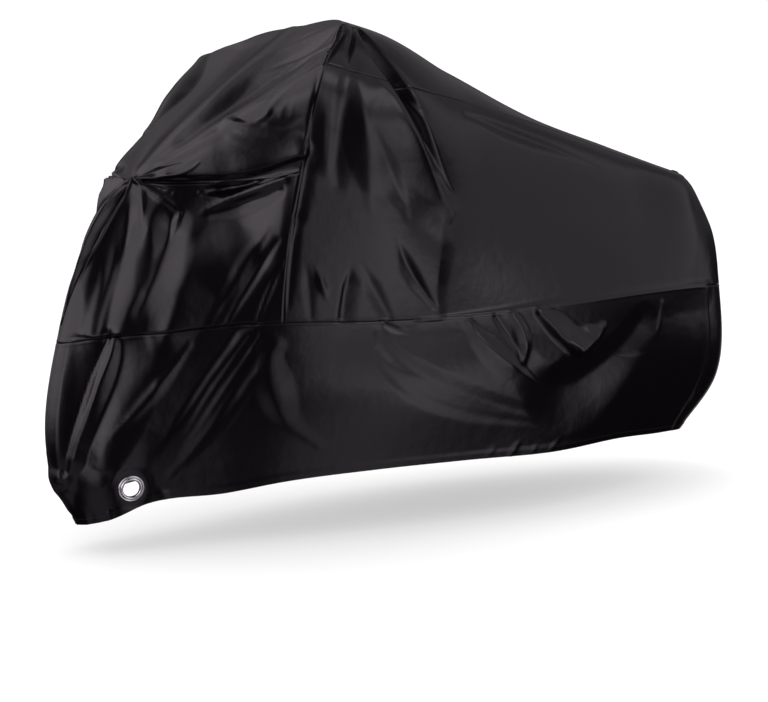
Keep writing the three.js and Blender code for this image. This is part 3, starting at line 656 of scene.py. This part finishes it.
    def fold_lift(self, fold: Fold, side: Side) -> tuple[np.ndarray, np.ndarray]:
        """How far a fold lifts the cloth.

        Args:
            fold: The fold.
            side: The side that it is on.

        Returns:
            The numbers of the points that it moves, and how far it moves each.
        """
        path = self.fold_path(fold, side)
        left, right = (fold.left, fold.right) if side is Side.LEFT else (fold.right, fold.left)
        reach = max(left, right)
        inside = (self.base > path.min(0) - reach) & (self.base < path.max(0) + reach)
        near = np.nonzero(inside.all(axis=1))[0]
        points = self.base[near]
        best = np.full(len(near), np.inf)
        share, leaning = np.zeros(len(near)), np.zeros(len(near))
        for k, step in enumerate(np.diff(path, axis=0)):
            t = np.clip((points - path[k]) @ step / (step @ step), 0, 1)
            away = points - path[k] - t[:, None] * step
            distance = length(away)
            closer = distance < best
            leftwards = np.cross(self.base_normals[near], step)
            lean = (away * leftwards).sum(axis=1) / np.maximum(distance * length(leftwards), TINY)
            best = np.where(closer, distance, best)
            share = np.where(closer, (k + t) / FOLD_STEPS, share)
            leaning = np.where(closer, lean, leaning)
        along = fold.start + (1 - fold.start) * ease(share / FADE_SHARE)
        along = along * (fold.end + (1 - fold.end) * ease((1 - share) / FADE_SHARE))
        width = (right + (left - right) * (1 + leaning) / 2) * (END_WIDTH + (1 - END_WIDTH) * along)
        x = np.minimum(best / width, 1.0)
        fall = (np.hypot(x, fold.crest) - fold.crest) / (math.hypot(1, fold.crest) - fold.crest)
        rise = fold.rise * (RIGHT_FOLD_SHARE if side is Side.RIGHT else 1.0)
        top, bottom = fold.levels()
        level = self.level[near]
        beyond = np.maximum(np.maximum(top - level, level - bottom), 0.0) * self.level_span[near]
        return near, rise * along * (1 - fall) ** FOLD_SHOULDER * (1 - ease(beyond / FOLD_MARGIN))

    def seam_lift(self) -> np.ndarray:
        """How far the seams draw the cloth in and stand it up beside them, and the turned hem stands out.

        Returns:
            How far each point moves, of shape (n,).
        """
        lift = np.zeros(len(self.place))
        for seam in SEAMS:
            across, other = self.place.T[::-1] if seam.along_level else self.place.T
            away = np.abs(across - seam.at) * (self.per_level if seam.along_level else self.per_station)
            inside = (other >= seam.start - TINY) & (other <= seam.stop + TINY)
            groove = -seam.depth * np.exp(-((away / SEAM_REACH) ** 2))
            lip = seam.lip * np.exp(-(((away - LIP_OFFSET) / LIP_REACH) ** 2))
            lift += np.where(inside, groove + lip, 0.0)
            LOG.debug("%s: %d points", seam.name, inside.sum())
        above_hem = (Level.HEM - self.place[:, 1]) * self.per_level
        lift += HEM_RISE * (1 - ease((above_hem - HEM_WIDTH) / HEM_STEP))
        joined = np.full(len(self.base), np.inf)
        np.minimum.at(joined, self.joined, lift)
        return joined

    def drape(self, eyelets: list[EyeletPlace]) -> None:
        """Gives the cloth its folds and seams, flat round each eyelet.

        Args:
            eyelets: Where the eyelets sit.
        """
        lift = self.seam_lift()
        for fold in FOLDS:
            for side in fold.sides:
                near, rise = self.fold_lift(fold, side)
                lift[near] += rise
                LOG.debug("%s, %s: %d points", fold.name, side.label, len(near))
        raised = self.base_normals * lift[:, None]
        self.points = self.base + raised
        for place in eyelets:
            away = length(self.base - place.at)
            flat = (1 - ease((away - place.flat) / (place.fade - place.flat)))[:, None]
            moved = self.base + raised * (1 - flat)
            moved -= flat * ((moved - place.at) @ place.facing)[:, None] * place.facing
            self.points = np.where(flat > 0, moved, self.points)
        self.normals = self._normals(self.points)


def link(name: str, data: bpy.types.ID) -> bpy.types.Object:
    """Puts new data into the scene as an object at the origin.

    Args:
        name: The object's name.
        data: Its mesh, light or camera.

    Returns:
        The new object.
    """
    made = bpy.data.objects.new(name, data)
    bpy.context.collection.objects.link(made)
    return made


class Held(Enum):
    """How a sheet of cloth is held."""

    DRAPED = "draped"
    HUNG = "hung"
    GATHERED = "gathered"


@dataclass(frozen=True)
class Panel:
    """One cut panel of the cover: the nodes it stands for, its stretch of the cloth and its flat cut.

    flat is the rectangle that it is cut from, and area the cut's own area, in metres; neither is used.
    allowance is how far its seams turn in and thickness the cloth's own, in millimetres, and rim how many
    radii round an eyelet's hole an edge still belongs to the hole.
    """

    name: str
    nodes: tuple[str, ...]
    stations: tuple[float, float]
    levels: tuple[float, float]
    sides: tuple[Side, ...]
    flat: tuple[float, float]
    area: float
    held: Held
    hangs_from: tuple[str, ...] = ()
    allowance: float = 7.0
    thickness: float = 0.9
    rim: float = 1.2
    smooth_angle: float = 75.0

    def build(self, cloth: ClothMesh, eyelets: list[EyeletPlace]) -> bpy.types.Object:
        """Cuts the panel from the cloth, turns its seam allowances in and gives it its thickness.

        Args:
            cloth: The draped cloth.
            eyelets: Where the eyelets' holes go.

        Returns:
            The panel's object, at the origin.
        """
        station, level = cloth.cells.T
        chosen = (station > self.stations[0]) & (station < self.stations[1])
        chosen &= (level > self.levels[0]) & (level < self.levels[1])
        chosen &= np.isin(cloth.face_sides, [side.value for side in self.sides])
        corners, uvs = cloth.corners[chosen], cloth.uvs[chosen]
        points = cloth.points.copy()
        for place in eyelets:
            keep = length(points[corners].mean(axis=1) - place.at) > place.hole
            corners, uvs, lost = corners[keep], uvs[keep], corners[~keep]
            edge = np.intersect1d(lost, corners)
            away = points[edge] - place.at
            points[edge] = place.at + away * (place.hole / np.maximum(length(away), TINY))[:, None]
        piece = self._object(*self._turn_edges(cloth, points, corners, uvs, eyelets))
        self._thicken(piece)
        return piece

    def _turn_edges(self, cloth: ClothMesh, points: np.ndarray, corners: np.ndarray, uvs: np.ndarray,
                    eyelets: list[EyeletPlace]) -> tuple[np.ndarray, np.ndarray, np.ndarray]:
        """Turns the panel's open edges in, but for its hem and the eyelets' holes.

        Args:
            cloth: The draped cloth.
            points: The cloth's points, drawn round the holes.
            corners: The corners of the panel's faces.
            uvs: Where those corners lie on the flat cut.
            eyelets: Where the eyelets' holes are.

        Returns:
            The points, corners and places on the flat cut with those of the turned edges.
        """
        starts, ends = corners.ravel(), np.roll(corners, -1, axis=1).ravel()
        real = starts != ends
        starts, ends = starts[real], ends[real]
        count = len(points)
        open_edge = ~np.isin(starts * count + ends, ends * count + starts)
        edge_uvs = uvs.reshape(-1, 2)[real][open_edge]
        starts, ends = starts[open_edge], ends[open_edge]
        on_hem = cloth.on_hem()
        holes = [length(points[starts] - place.at) < self.rim * place.hole for place in eyelets]
        seam = ~((on_hem[starts] & on_hem[ends]) | np.any(holes, axis=0))
        starts, ends = starts[seam], ends[seam]
        edge = np.unique([starts, ends])
        turned = np.full(count, -1)
        turned[edge] = count + np.arange(len(edge))
        low = points[edge] - cloth.normals[edge] * self.allowance
        flange = np.stack([ends, starts, turned[starts], turned[ends]], axis=1)
        flange_uvs = np.repeat(edge_uvs[seam][:, None], 4, axis=1)
        return tuple(np.concatenate(pair) for pair in ((points, low), (corners, flange), (uvs, flange_uvs)))

    def _object(self, points: np.ndarray, corners: np.ndarray, uvs: np.ndarray) -> bpy.types.Object:
        """Makes the panel's object, without the faces that close to a line.

        Args:
            points: Points in millimetres above the ground, used or not.
            corners: The corners of the panel's faces.
            uvs: Where those corners lie on the flat cut.

        Returns:
            The panel's object, at the origin.
        """
        used, numbers = np.unique(corners, return_inverse=True)
        polygons, loops = [], []
        for face, uv in zip(numbers.reshape(-1, 4).tolist(), uvs.tolist()):
            keep = [k for k in range(4) if face[k] != face[k - 1]]
            if len(keep) > 2:
                polygons.append([face[k] for k in keep])
                loops.extend(uv[k] for k in keep)
        mesh = bpy.data.meshes.new(self.name)
        mesh.from_pydata(((points[used] - HELD_AT) * MM).tolist(), [], polygons)
        layer = mesh.uv_layers.new(name="cut")
        layer.data.foreach_set("uv", np.array(loops, np.float32).ravel())
        mesh.shade_smooth()
        return link(self.name, mesh)

    def _thicken(self, piece: bpy.types.Object) -> None:
        """Gives the panel its thickness inwards.

        Args:
            piece: The panel's object.
        """
        bpy.ops.object.select_all(action="DESELECT")
        piece.select_set(True)
        bpy.context.view_layer.objects.active = piece
        solid = piece.modifiers.new("thickness", "SOLIDIFY")
        solid.thickness = self.thickness * MM
        solid.offset = -1.0
        bpy.ops.object.modifier_apply(modifier=solid.name)
        bpy.ops.object.shade_smooth_by_angle(angle=math.radians(self.smooth_angle))

    def dress(self, piece: bpy.types.Object, finish: bpy.types.Material) -> None:
        """Gives the panel its finish, hangs it on the body and hides the model's parts that it stands for.

        Args:
            piece: The panel's object.
            finish: Its material.
        """
        piece.data.materials.append(finish)
        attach(piece, BODY)
        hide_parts(*self.nodes)


def cover_panels() -> list[Panel]:
    """Every panel of the cover, in the order in which it is sewn.

    Returns:
        The panels.
    """
    front, back = (Station.NOSE, Station.CROSS), (Station.CROSS, Station.REAR)
    skirt = (Level.WAIST, Level.HEM)
    return [
        Panel("cap_cloth", ("cap",), front, (Level.CROWN, Level.BELT), BOTH, (0.95, 0.75), 0.44, Held.DRAPED),
        Panel("top_cloth", ("top",), (Station.CROSS, Station.LAMP), (Level.CROWN, Level.SHOULDER), BOTH,
              (0.75, 1.36), 0.62, Held.DRAPED),
        *(Panel(f"front_{side.label}_cloth", (f"front_{side.label}",), front, (Level.BELT, Level.WAIST),
                (side,), (0.62, 0.5), 0.25, Held.HUNG, ("cap_cloth",)) for side in Side),
        *(Panel(f"side_{side.label}_cloth", (f"side_{side.label}",), back, (Level.SHOULDER, Level.WAIST),
                (side,), (1.95, 0.75), 0.92, Held.HUNG, ("top_cloth",)) for side in Side),
        *(Panel(f"skirt_{side.label}_cloth", (f"skirt_{side.label}", f"eyelet_strip_{side.label}"),
                (Station.NOSE, REAR_SEAM), skirt, (side,), (2.25, 0.62), 0.96, Held.GATHERED,
                (f"front_{side.label}_cloth", f"side_{side.label}_cloth")) for side in Side),
        Panel("skirt_rear_cloth", ("skirt_rear",), (REAR_SEAM, Station.REAR), skirt, BOTH, (0.68, 0.52), 0.28,
              Held.GATHERED, ("side_left_cloth", "side_right_cloth")),
    ]


Colour = tuple[float, float, float]
WHITE = (1, 1, 1, 1)


def fill(node: bpy.types.Node, inputs: dict[str | int, object]) -> None:
    """Fills a node's inputs: a socket is linked to its input, and any other value is put there.

    Args:
        node: The node.
        inputs: The sockets and values by the input's name or number.
    """
    for key, value in inputs.items():
        if isinstance(value, bpy.types.NodeSocket):
            node.id_data.links.new(value, node.inputs[key])
        else:
            node.inputs[key].default_value = value


def add_node(tree: bpy.types.NodeTree, kind: str, inputs: dict[str | int, object],
             **settings: str) -> bpy.types.Node:
    """Adds one shader node.

    Args:
        tree: The nodes to add it to.
        kind: The node's type.
        inputs: The sockets and values for its inputs.
        settings: The node's own settings.

    Returns:
        The new node.
    """
    node = tree.nodes.new(f"ShaderNode{kind}")
    for name, value in settings.items():
        setattr(node, name, value)
    fill(node, inputs)
    return node


def new_material(name: str, inputs: dict[str | int, object]) -> bpy.types.Material:
    """A material with a plain shader.

    Args:
        name: The material's name.
        inputs: The values for the shader's inputs.

    Returns:
        The new material.
    """
    made = bpy.data.materials.new(name)
    made.use_nodes = True
    fill(made.node_tree.nodes["Principled BSDF"], inputs)
    return made


def mottle(made: bpy.types.Material, dark: Colour, pale: Colour, scale: float, detail: float) -> None:
    """Gives a material a colour that wanders between two.

    Args:
        made: The material.
        dark: The darker colour.
        pale: The paler colour.
        scale: How fine the wandering is.
        detail: How many finer layers it has.
    """
    tree = made.node_tree
    where = add_node(tree, "TexCoord", {}).outputs["Object"]
    noise = add_node(tree, "TexNoise", {"Vector": where, "Scale": scale, "Detail": detail})
    mixed = {"Factor": noise.outputs["Fac"], "A": (*dark, 1), "B": (*pale, 1)}
    colour = add_node(tree, "Mix", mixed, data_type="RGBA")
    fill(tree.nodes["Principled BSDF"], {"Base Color": colour.outputs["Result"]})


@dataclass(frozen=True)
class SatinFinish:
    """Near-black coated polyester with a satin gloss and a little unevenness, its height in millimetres."""

    dark: Colour = (0.0014, 0.0008, 0.0014)
    pale: Colour = (0.0024, 0.0015, 0.0024)
    roughness: float = 0.2
    specular: float = 0.5
    mottle_scale: float = 9.0
    mottle_detail: float = 4.0
    crinkle_scale: float = 22.0
    crinkle_detail: float = 2.0
    crinkle_height: float = 0.9

    def material(self) -> bpy.types.Material:
        """Makes the cloth's material.

        Returns:
            The new material.
        """
        made = new_material("satin_cloth", {"Roughness": self.roughness, "Specular IOR Level": self.specular})
        mottle(made, self.dark, self.pale, self.mottle_scale, self.mottle_detail)
        tree = made.node_tree
        where = add_node(tree, "TexCoord", {}).outputs["Object"]
        noise = {"Vector": where, "Scale": self.crinkle_scale, "Detail": self.crinkle_detail}
        height = add_node(tree, "TexNoise", noise).outputs["Fac"]
        bump = {"Strength": 1.0, "Distance": self.crinkle_height * MM, "Height": height}
        uneven = add_node(tree, "Bump", bump)
        fill(tree.nodes["Principled BSDF"], {"Normal": uneven.outputs["Normal"]})
        return made


@dataclass(frozen=True)
class ThreadFinish:
    """Black polyester thread with a soft shine, a little uneven along its length."""

    dark: Colour = (0.006, 0.005, 0.006)
    pale: Colour = (0.02, 0.018, 0.02)
    roughness: float = 0.38
    twist_scale: float = 900.0
    twist_detail: float = 2.0

    def material(self) -> bpy.types.Material:
        """Makes the thread's material.

        Returns:
            The new material.
        """
        made = new_material("sewing_thread", {"Roughness": self.roughness})
        mottle(made, self.dark, self.pale, self.twist_scale, self.twist_detail)
        return made


@dataclass(frozen=True)
class ChromeFinish:
    """Bright chrome, pressed and rolled."""

    colour: Colour = (0.78, 0.78, 0.8)
    roughness: float = 0.12

    def material(self) -> bpy.types.Material:
        """Makes the eyelets' material."""
        shader = {"Base Color": (*self.colour, 1), "Metallic": 1.0, "Roughness": self.roughness}
        return new_material("eyelet_chrome", shader)


@dataclass(frozen=True)
class FloorFinish:
    """A pale dull floor that glows a little."""

    colour: Colour = (0.6, 0.6, 0.6)
    glow: float = 0.45
    roughness: float = 0.9

    def material(self) -> bpy.types.Material:
        """Makes the floor's material.

        Returns:
            The new material.
        """
        return new_material("pale_floor", {
            "Base Color": (*self.colour, 1), "Emission Color": WHITE, "Emission Strength": self.glow,
            "Roughness": self.roughness, "Specular IOR Level": 0.0})


@dataclass(frozen=True)
class SoftBox:
    """One soft studio light: where it stands, what it looks at, its size and its power."""

    name: str
    at: tuple[float, float, float]
    looks_at: tuple[float, float, float]
    size: tuple[float, float]
    power: float

    def stand(self) -> None:
        """Stands the light in the scene, unseen by the camera and by gloss."""
        lamp = bpy.data.lights.new(self.name, "AREA")
        lamp.shape = "RECTANGLE"
        lamp.size, lamp.size_y = self.size
        lamp.energy = self.power
        placed = link(self.name, lamp)
        placed.location = self.at
        aim = Vector(self.looks_at) - Vector(self.at)
        placed.rotation_euler = aim.to_track_quat("-Z", "Y").to_euler()
        placed.visible_camera = placed.visible_glossy = False


@dataclass(frozen=True)
class Glow:
    """A soft light panel of the surround that gloss mirrors.

    azimuth counts from straight out of the left side towards the rear. Both ranges and the softness of the
    edges are in degrees: side edges, low edge and high edge.
    """

    name: str
    azimuth: tuple[float, float]
    elevation: tuple[float, float]
    soft: tuple[float, float, float]
    radiance: float

    def edges(self) -> tuple[tuple[Vector, float], ...]:
        """The side edges of the panel.

        Returns:
            The way in from each edge, and how far the edge fades, as a sine.
        """
        first, last = (math.radians(angle) for angle in self.azimuth)
        side = math.sin(math.radians(self.soft[0]))
        return ((Vector((math.cos(first), math.sin(first), 0)), side),
                (Vector((-math.cos(last), -math.sin(last), 0)), side))

    def heights(self) -> tuple[tuple[float, float], ...]:
        """The low and the high edge of the panel.

        Returns:
            Where each edge starts to fade in and where it has, as sines.
        """
        (low, high), (_, below, above) = self.elevation, self.soft
        fades = ((low - below, low + below), (high + above, high - above))
        upright = 90
        angles = ((max(-upright, min(upright, angle)) for angle in fade) for fade in fades)
        return tuple(tuple(math.sin(math.radians(angle)) for angle in pair) for pair in angles)


@dataclass(frozen=True)
class Studio:
    """The floor, the lights and the camera round the cover, in metres."""

    floor_size: float = 60.0
    camera_at: tuple[float, float, float] = (-2.379, -4.239, -0.150)
    camera_pitch: float = 81.75
    camera_turn: float = -31.46
    lens: float = 83.1
    sensor: float = 36.0
    surround: float = 1.1
    dimmest: float = 0.01
    tint: Colour = (1.0, 0.92, 1.0)
    glows: tuple[Glow, ...] = (
        Glow("right", (0, 88), (-5, 60), (8, 5, 15), 0.45),
        Glow("right near", (14, 36), (2, 24), (6, 6, 10), 1.2),
        Glow("right low", (21, 43), (-28, -10), (6, 6, 5), 0.7),
        Glow("near low", (2, 24), (-18, -4), (6, 5, 5), 0.5),
        Glow("bounce", (6, 36), (-60, -8), (11, 15, 5), 0.5),
        Glow("left", (-140, -46), (-4, 60), (22, 14, 6), 1.55),
        Glow("left near", (-66, -42), (-20, 14), (6, 8, 8), 0.75),
        Glow("left back", (-174, -140), (-18, 46), (10, 10, 6), 0.5),
        Glow("front high", (-48, -16), (20, 50), (8, 6, 10), 0.15),
        Glow("overhead", (-90, 89), (66, 90), (30, 10, 1), 0.15),
        Glow("rear", (85, 150), (8, 60), (14, 12, 20), 0.17),
        Glow("far side", (140, 245), (22, 68), (14, 14, 14), 0.28),
        Glow("far low", (118, 176), (-45, -8), (10, 10, 4), 0.5),
        Glow("front low", (-78, -18), (-60, -26), (12, 10, 6), 0.25),
    )
    light: SoftBox = SoftBox("overhead", (0.4, 0.3, 3.2), (0.4, 0.0, -0.5), (3.0, 2.0), 60.0)

    def build(self) -> None:
        """Sets the floor, the light, the background and the camera."""
        self._floor()
        self.light.stand()
        self._background()
        self._camera()

    def _floor(self) -> None:
        """Lays the pale floor under the cover."""
        bpy.ops.object.select_all(action="DESELECT")
        bpy.ops.mesh.primitive_plane_add(size=self.floor_size, location=(0, 0, -HELD_AT[2] * MM))
        floor = bpy.context.object
        floor.name = "floor"
        floor.data.materials.append(FloorFinish().material())
        floor.visible_glossy = False

    def _background(self) -> None:
        """Makes the white surround, in which gloss sees only the soft glows."""
        world = bpy.data.worlds.new("white_surround")
        world.use_nodes = True
        bpy.context.scene.world = world
        tree = world.node_tree
        tree.nodes.clear()
        glossy = add_node(tree, "LightPath", {}).outputs["Is Glossy Ray"]
        plain = {"Color": WHITE, "Strength": self.surround}
        mirrored = {"Color": (*self.tint, 1), "Strength": self._glow_strength(tree)}
        white, glow = (add_node(tree, "Background", inputs).outputs[0] for inputs in (plain, mirrored))
        mix = add_node(tree, "MixShader", {"Fac": glossy, 1: white, 2: glow})
        add_node(tree, "OutputWorld", {"Surface": mix.outputs["Shader"]})

    def _glow_strength(self, tree: bpy.types.NodeTree) -> bpy.types.NodeSocket:
        """Adds up the glows for the way that a ray goes.

        Args:
            tree: The surround's nodes.

        Returns:
            The socket that holds the sum.
        """
        where = add_node(tree, "TexCoord", {}).outputs["Generated"]
        height = add_node(tree, "SeparateXYZ", {"Vector": where}).outputs["Z"]
        parts = []
        for glow in self.glows:
            shares = []
            for way_in, fade in glow.edges():
                facing = add_node(tree, "VectorMath", {0: where, 1: way_in}, operation="DOT_PRODUCT")
                shares.append(self._ramp(facing.outputs["Value"], -fade, fade, 1.0))
            for (outer, inner), top in zip(glow.heights(), (1.0, glow.radiance)):
                shares.append(self._ramp(height, outer, inner, top))
            parts.append(self._combine("MULTIPLY", shares))
            parts[-1].node.label = glow.name
        return self._combine("ADD", [*parts, self.dimmest])

    @staticmethod
    def _ramp(source: bpy.types.NodeSocket, low: float, high: float, top: float) -> bpy.types.NodeSocket:
        """A smooth rise from nothing to a top, while the source goes from low to high."""
        span = {"Value": source, "From Min": low, "From Max": high, "To Min": 0.0, "To Max": top}
        return add_node(source.id_data, "MapRange", span, interpolation_type="SMOOTHSTEP").outputs["Result"]

    @staticmethod
    def _combine(how: str, values: list[bpy.types.NodeSocket | float]) -> bpy.types.NodeSocket:
        """The sum or product of several values.

        Args:
            how: The operation.
            values: The values, of which the first is a socket.

        Returns:
            The socket that holds the result.
        """
        total = values[0]
        for value in values[1:]:
            total = add_node(total.id_data, "Math", {0: total, 1: value}, operation=how).outputs[0]
        return total

    def _camera(self) -> None:
        """Stands the camera at the photograph's viewing angle."""
        lens = bpy.data.cameras.new("camera")
        lens.sensor_fit = "HORIZONTAL"
        lens.sensor_width, lens.lens = self.sensor, self.lens
        camera = link("camera", lens)
        camera.location = self.camera_at
        camera.rotation_euler = (math.radians(self.camera_pitch), 0.0, math.radians(self.camera_turn))
        bpy.context.scene.camera = camera
        bpy.context.scene.view_settings.view_transform = "Standard"


@dataclass(frozen=True)
class Eyelet:
    """A pressed eyelet, by its half-profile as radius and height over the cloth, in millimetres.

    bore_back is the height of the bore's back edge, and groove_offset how far outside the middle the groove
    between the two beads is. The beads have their heights and steps, and back_plate is the rest of the
    profile, from under the flange round the plate behind the cloth.
    """

    place: EyeletPlace
    bore: float = 22.0
    flange: float = 35.0
    bore_back: float = -2.5
    groove_offset: float = 1.0
    bead_heights: tuple[float, float] = (2.6, 1.4)
    bead_steps: int = 8
    back_plate: tuple[tuple[float, float], ...] = (
        (35.0, 0.3), (25.4, 0.3), (25.4, -1.3), (33.0, -1.3), (32.4, -2.7), (23.5, -3.5))
    segments: int = 96
    smooth_angle: float = 50.0

    def profile(self) -> list[tuple[float, float]]:
        """The half-profile, from the back of the bore over both beads and round the back plate.

        Returns:
            The radii and heights.
        """
        groove = (self.bore + self.flange) / 2 + self.groove_offset
        beads = []
        for low, high, base in zip((self.bore, groove), (groove, self.flange), self.bead_heights):
            middle, radius = (low + high) / 2, (high - low) / 2
            for k in range(self.bead_steps + 1):
                turn = math.pi * (1 - k / self.bead_steps)
                beads.append((middle + radius * math.cos(turn), base + radius * math.sin(turn)))
        return [(self.bore, self.bore_back), *beads, *self.back_plate]

    def build(self) -> bpy.types.Object:
        """Draws the profile round as rings, ring after ring, and sets it in its place.

        Returns:
            The eyelet's object, at the origin.
        """
        profile = self.profile()
        radius, height = profile[0]
        bpy.ops.object.select_all(action="DESELECT")
        at = (0, 0, height * MM)
        bpy.ops.mesh.primitive_circle_add(vertices=self.segments, radius=radius * MM, location=at)
        ring = bpy.context.object
        ring.name = f"eyelet_ring_{self.place.side.label}"
        bpy.ops.object.transform_apply(location=True, rotation=True, scale=True)
        bpy.ops.object.mode_set(mode="EDIT")
        bpy.ops.mesh.select_all(action="SELECT")
        for new_radius, new_height in [*profile[1:], profile[0]]:
            lift = (0, 0, (new_height - height) * MM)
            bpy.ops.mesh.extrude_edges_move(TRANSFORM_OT_translate={"value": lift})
            share = new_radius / radius
            bpy.ops.transform.resize(value=(share, share, 1), center_override=(0, 0, 0))
            radius, height = new_radius, new_height
        bpy.ops.mesh.select_all(action="SELECT")
        bpy.ops.mesh.remove_doubles(threshold=TINY)
        bpy.ops.mesh.normals_make_consistent(inside=False)
        bpy.ops.object.mode_set(mode="OBJECT")
        turn = Vector((0, 0, 1)).rotation_difference(Vector(self.place.facing)).to_matrix().to_4x4()
        ring.matrix_world = Matrix.Translation(Vector((self.place.at - HELD_AT) * MM)) @ turn
        bpy.ops.object.transform_apply(location=True, rotation=True, scale=True)
        bpy.ops.object.shade_smooth_by_angle(angle=math.radians(self.smooth_angle))
        return ring

    def dress(self, ring: bpy.types.Object, finish: bpy.types.Material) -> None:
        """Gives the eyelet its finish, hangs it on the body and hides the model's part that it stands for.

        Args:
            ring: The eyelet's object.
            finish: Its material.
        """
        ring.data.materials.clear()
        ring.data.materials.append(finish)
        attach(ring, BODY)
        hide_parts(f"eyelet_{self.place.side.label}")


@dataclass(frozen=True)
class StitchRow:
    """A row of stitches along one station or one level, and how far beside it, in millimetres.

    probe is the part of a station or level over which the distance beside is measured.
    """

    at: float
    start: float
    stop: float
    along_level: bool
    beside: float
    probe: float = 0.04

    def line(self, cloth: ClothMesh, side: Side, steps: int) -> tuple[np.ndarray, np.ndarray]:
        """The row's line on the cloth.

        Args:
            cloth: The draped cloth.
            side: The side of the cover.
            steps: How many points to a station or level.

        Returns:
            Points along the line and the way the cloth faces at each.
        """
        along = np.linspace(self.start, self.stop, max(int(abs(self.stop - self.start) * steps), 2))
        across = np.full(len(along), float(self.at))
        beside = across + math.copysign(self.probe, self.beside)
        places = [(along, v) if self.along_level else (v, along) for v in (across, beside)]
        (first, _), (second, _) = (cloth.at(side, *place) for place in places)
        least_step = 1.0
        across = across + self.beside * self.probe / np.maximum(length(second - first), least_step)
        return cloth.at(side, *((along, across) if self.along_level else (across, along)))


STITCH_ROWS: tuple[StitchRow, ...] = (
    StitchRow(Level.WAIST, 0.02, 10.98, True, -5.5),
    StitchRow(Level.WAIST, 0.02, 10.98, True, 5.5),
    StitchRow(Level.SHOULDER, 4.04, 8.98, True, 5.5),
    StitchRow(Level.BELT, 0.3, 3.97, True, 5.5),
    StitchRow(Station.NOSE, 3.05, 5.96, False, 8.0),
    StitchRow(Station.CROSS, 0.02, 1.97, False, -5.5),
    StitchRow(Station.CROSS, 2.04, 3.97, False, 5.5),
    StitchRow(REAR_SEAM, 4.05, 5.96, False, -6.0),
    StitchRow(Station.REAR, 2.1, 3.97, False, -6.0),
    StitchRow(Level.HEM, 0.02, 10.98, True, -17.0),
)


@dataclass(frozen=True)
class Stitching:
    """Every row of stitches as one mesh: the thread's pitch, length, width and height, in millimetres.

    sections are where a stitch's three-cornered sections stand along it and how high their tops are, as
    shares of its length and height.
    """

    pitch: float = 6.0
    stitch: float = 4.3
    width: float = 1.1
    height: float = 0.6
    sunk: float = 0.4
    steps: int = 160
    sections: tuple[tuple[float, float], ...] = ((-0.5, -0.5), (-0.3, 1.0), (0.3, 1.0), (0.5, -0.5))

    def build(self, cloth: ClothMesh) -> bpy.types.Object:
        """Lays every stitch on the draped cloth.

        Args:
            cloth: The draped cloth.

        Returns:
            The stitching's object, at the origin.
        """
        rows = [self._row(*row.line(cloth, side, self.steps)) for row in STITCH_ROWS for side in Side]
        points = np.concatenate(rows)
        count = 3 * len(self.sections)
        corners = np.arange(count).reshape(-1, 3)
        quads = [(corners[k, e], corners[k, e - 1], corners[k + 1, e - 1], corners[k + 1, e])
                 for k in range(len(corners) - 1) for e in range(3)]
        first = np.arange(0, len(points), count)[:, None]
        faces = (first[:, None] + np.array(quads)).reshape(-1, 4).tolist()
        faces += (first + corners[0]).tolist() + (first + corners[-1, ::-1]).tolist()
        mesh = bpy.data.meshes.new("stitching")
        mesh.from_pydata(((points - HELD_AT) * MM).tolist(), [], faces)
        return link("stitching", mesh)

    def _row(self, points: np.ndarray, facing: np.ndarray) -> np.ndarray:
        """The corners of one row's stitches, three to a section.

        Args:
            points: Points along the row.
            facing: The way the cloth faces at each.

        Returns:
            The corners, of shape (n, 3).
        """
        run = np.concatenate([[0.0], np.cumsum(length(np.diff(points, axis=0)))])
        middles = np.arange(self.pitch / 2, run[-1] - self.pitch / 2, self.pitch)

        def along(values: np.ndarray, where: np.ndarray) -> np.ndarray:
            """The values at some distances along the row."""
            return np.stack([np.interp(where, run, values[:, k]) for k in range(3)], axis=1)

        step = 1.0
        sections = []
        for share, top in self.sections:
            where = middles + share * self.stitch
            centre, out = along(points, where), along(facing, where)
            across = np.cross(out, along(points, where + step) - centre)
            across *= self.width / 2 / np.maximum(length(across), TINY)[:, None]
            base = centre - out * self.sunk
            sections += [base - across, centre + out * self.height * top, base + across]
        return np.stack(sections, axis=1).reshape(-1, 3)

    def dress(self, piece: bpy.types.Object, finish: bpy.types.Material) -> None:
        """Gives the stitching its thread and hangs it on the body."""
        piece.data.materials.append(finish)
        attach(piece, BODY)


# The station and level of both eyelets.
EYELET_AT = (1.64, 5.64)


def main() -> None:
    """Builds the cover's panels, eyelets and stitching, then the studio."""
    logging.basicConfig(level=logging.INFO, format="%(name)s: %(message)s")
    shape = DrapedShape()
    places = [EyeletPlace(side, shape.one(side, *EYELET_AT), shape.facing(side, *EYELET_AT)) for side in Side]
    cloth = ClothMesh(shape, GridSizes())
    cloth.drape(places)
    satin = SatinFinish().material()
    for panel in cover_panels():
        piece = panel.build(cloth, places)
        panel.dress(piece, satin)
        LOG.info("%s: %d faces", piece.name, len(piece.data.polygons))
    chrome = ChromeFinish().material()
    for eyelet in map(Eyelet, places):
        ring = eyelet.build()
        eyelet.dress(ring, chrome)
        LOG.info("%s: %d faces", ring.name, len(ring.data.polygons))
    stitching = Stitching()
    thread = stitching.build(cloth)
    stitching.dress(thread, ThreadFinish().material())
    LOG.info("%s: %d faces", thread.name, len(thread.data.polygons))
    Studio().build()


if __name__ == "__main__":
    main()
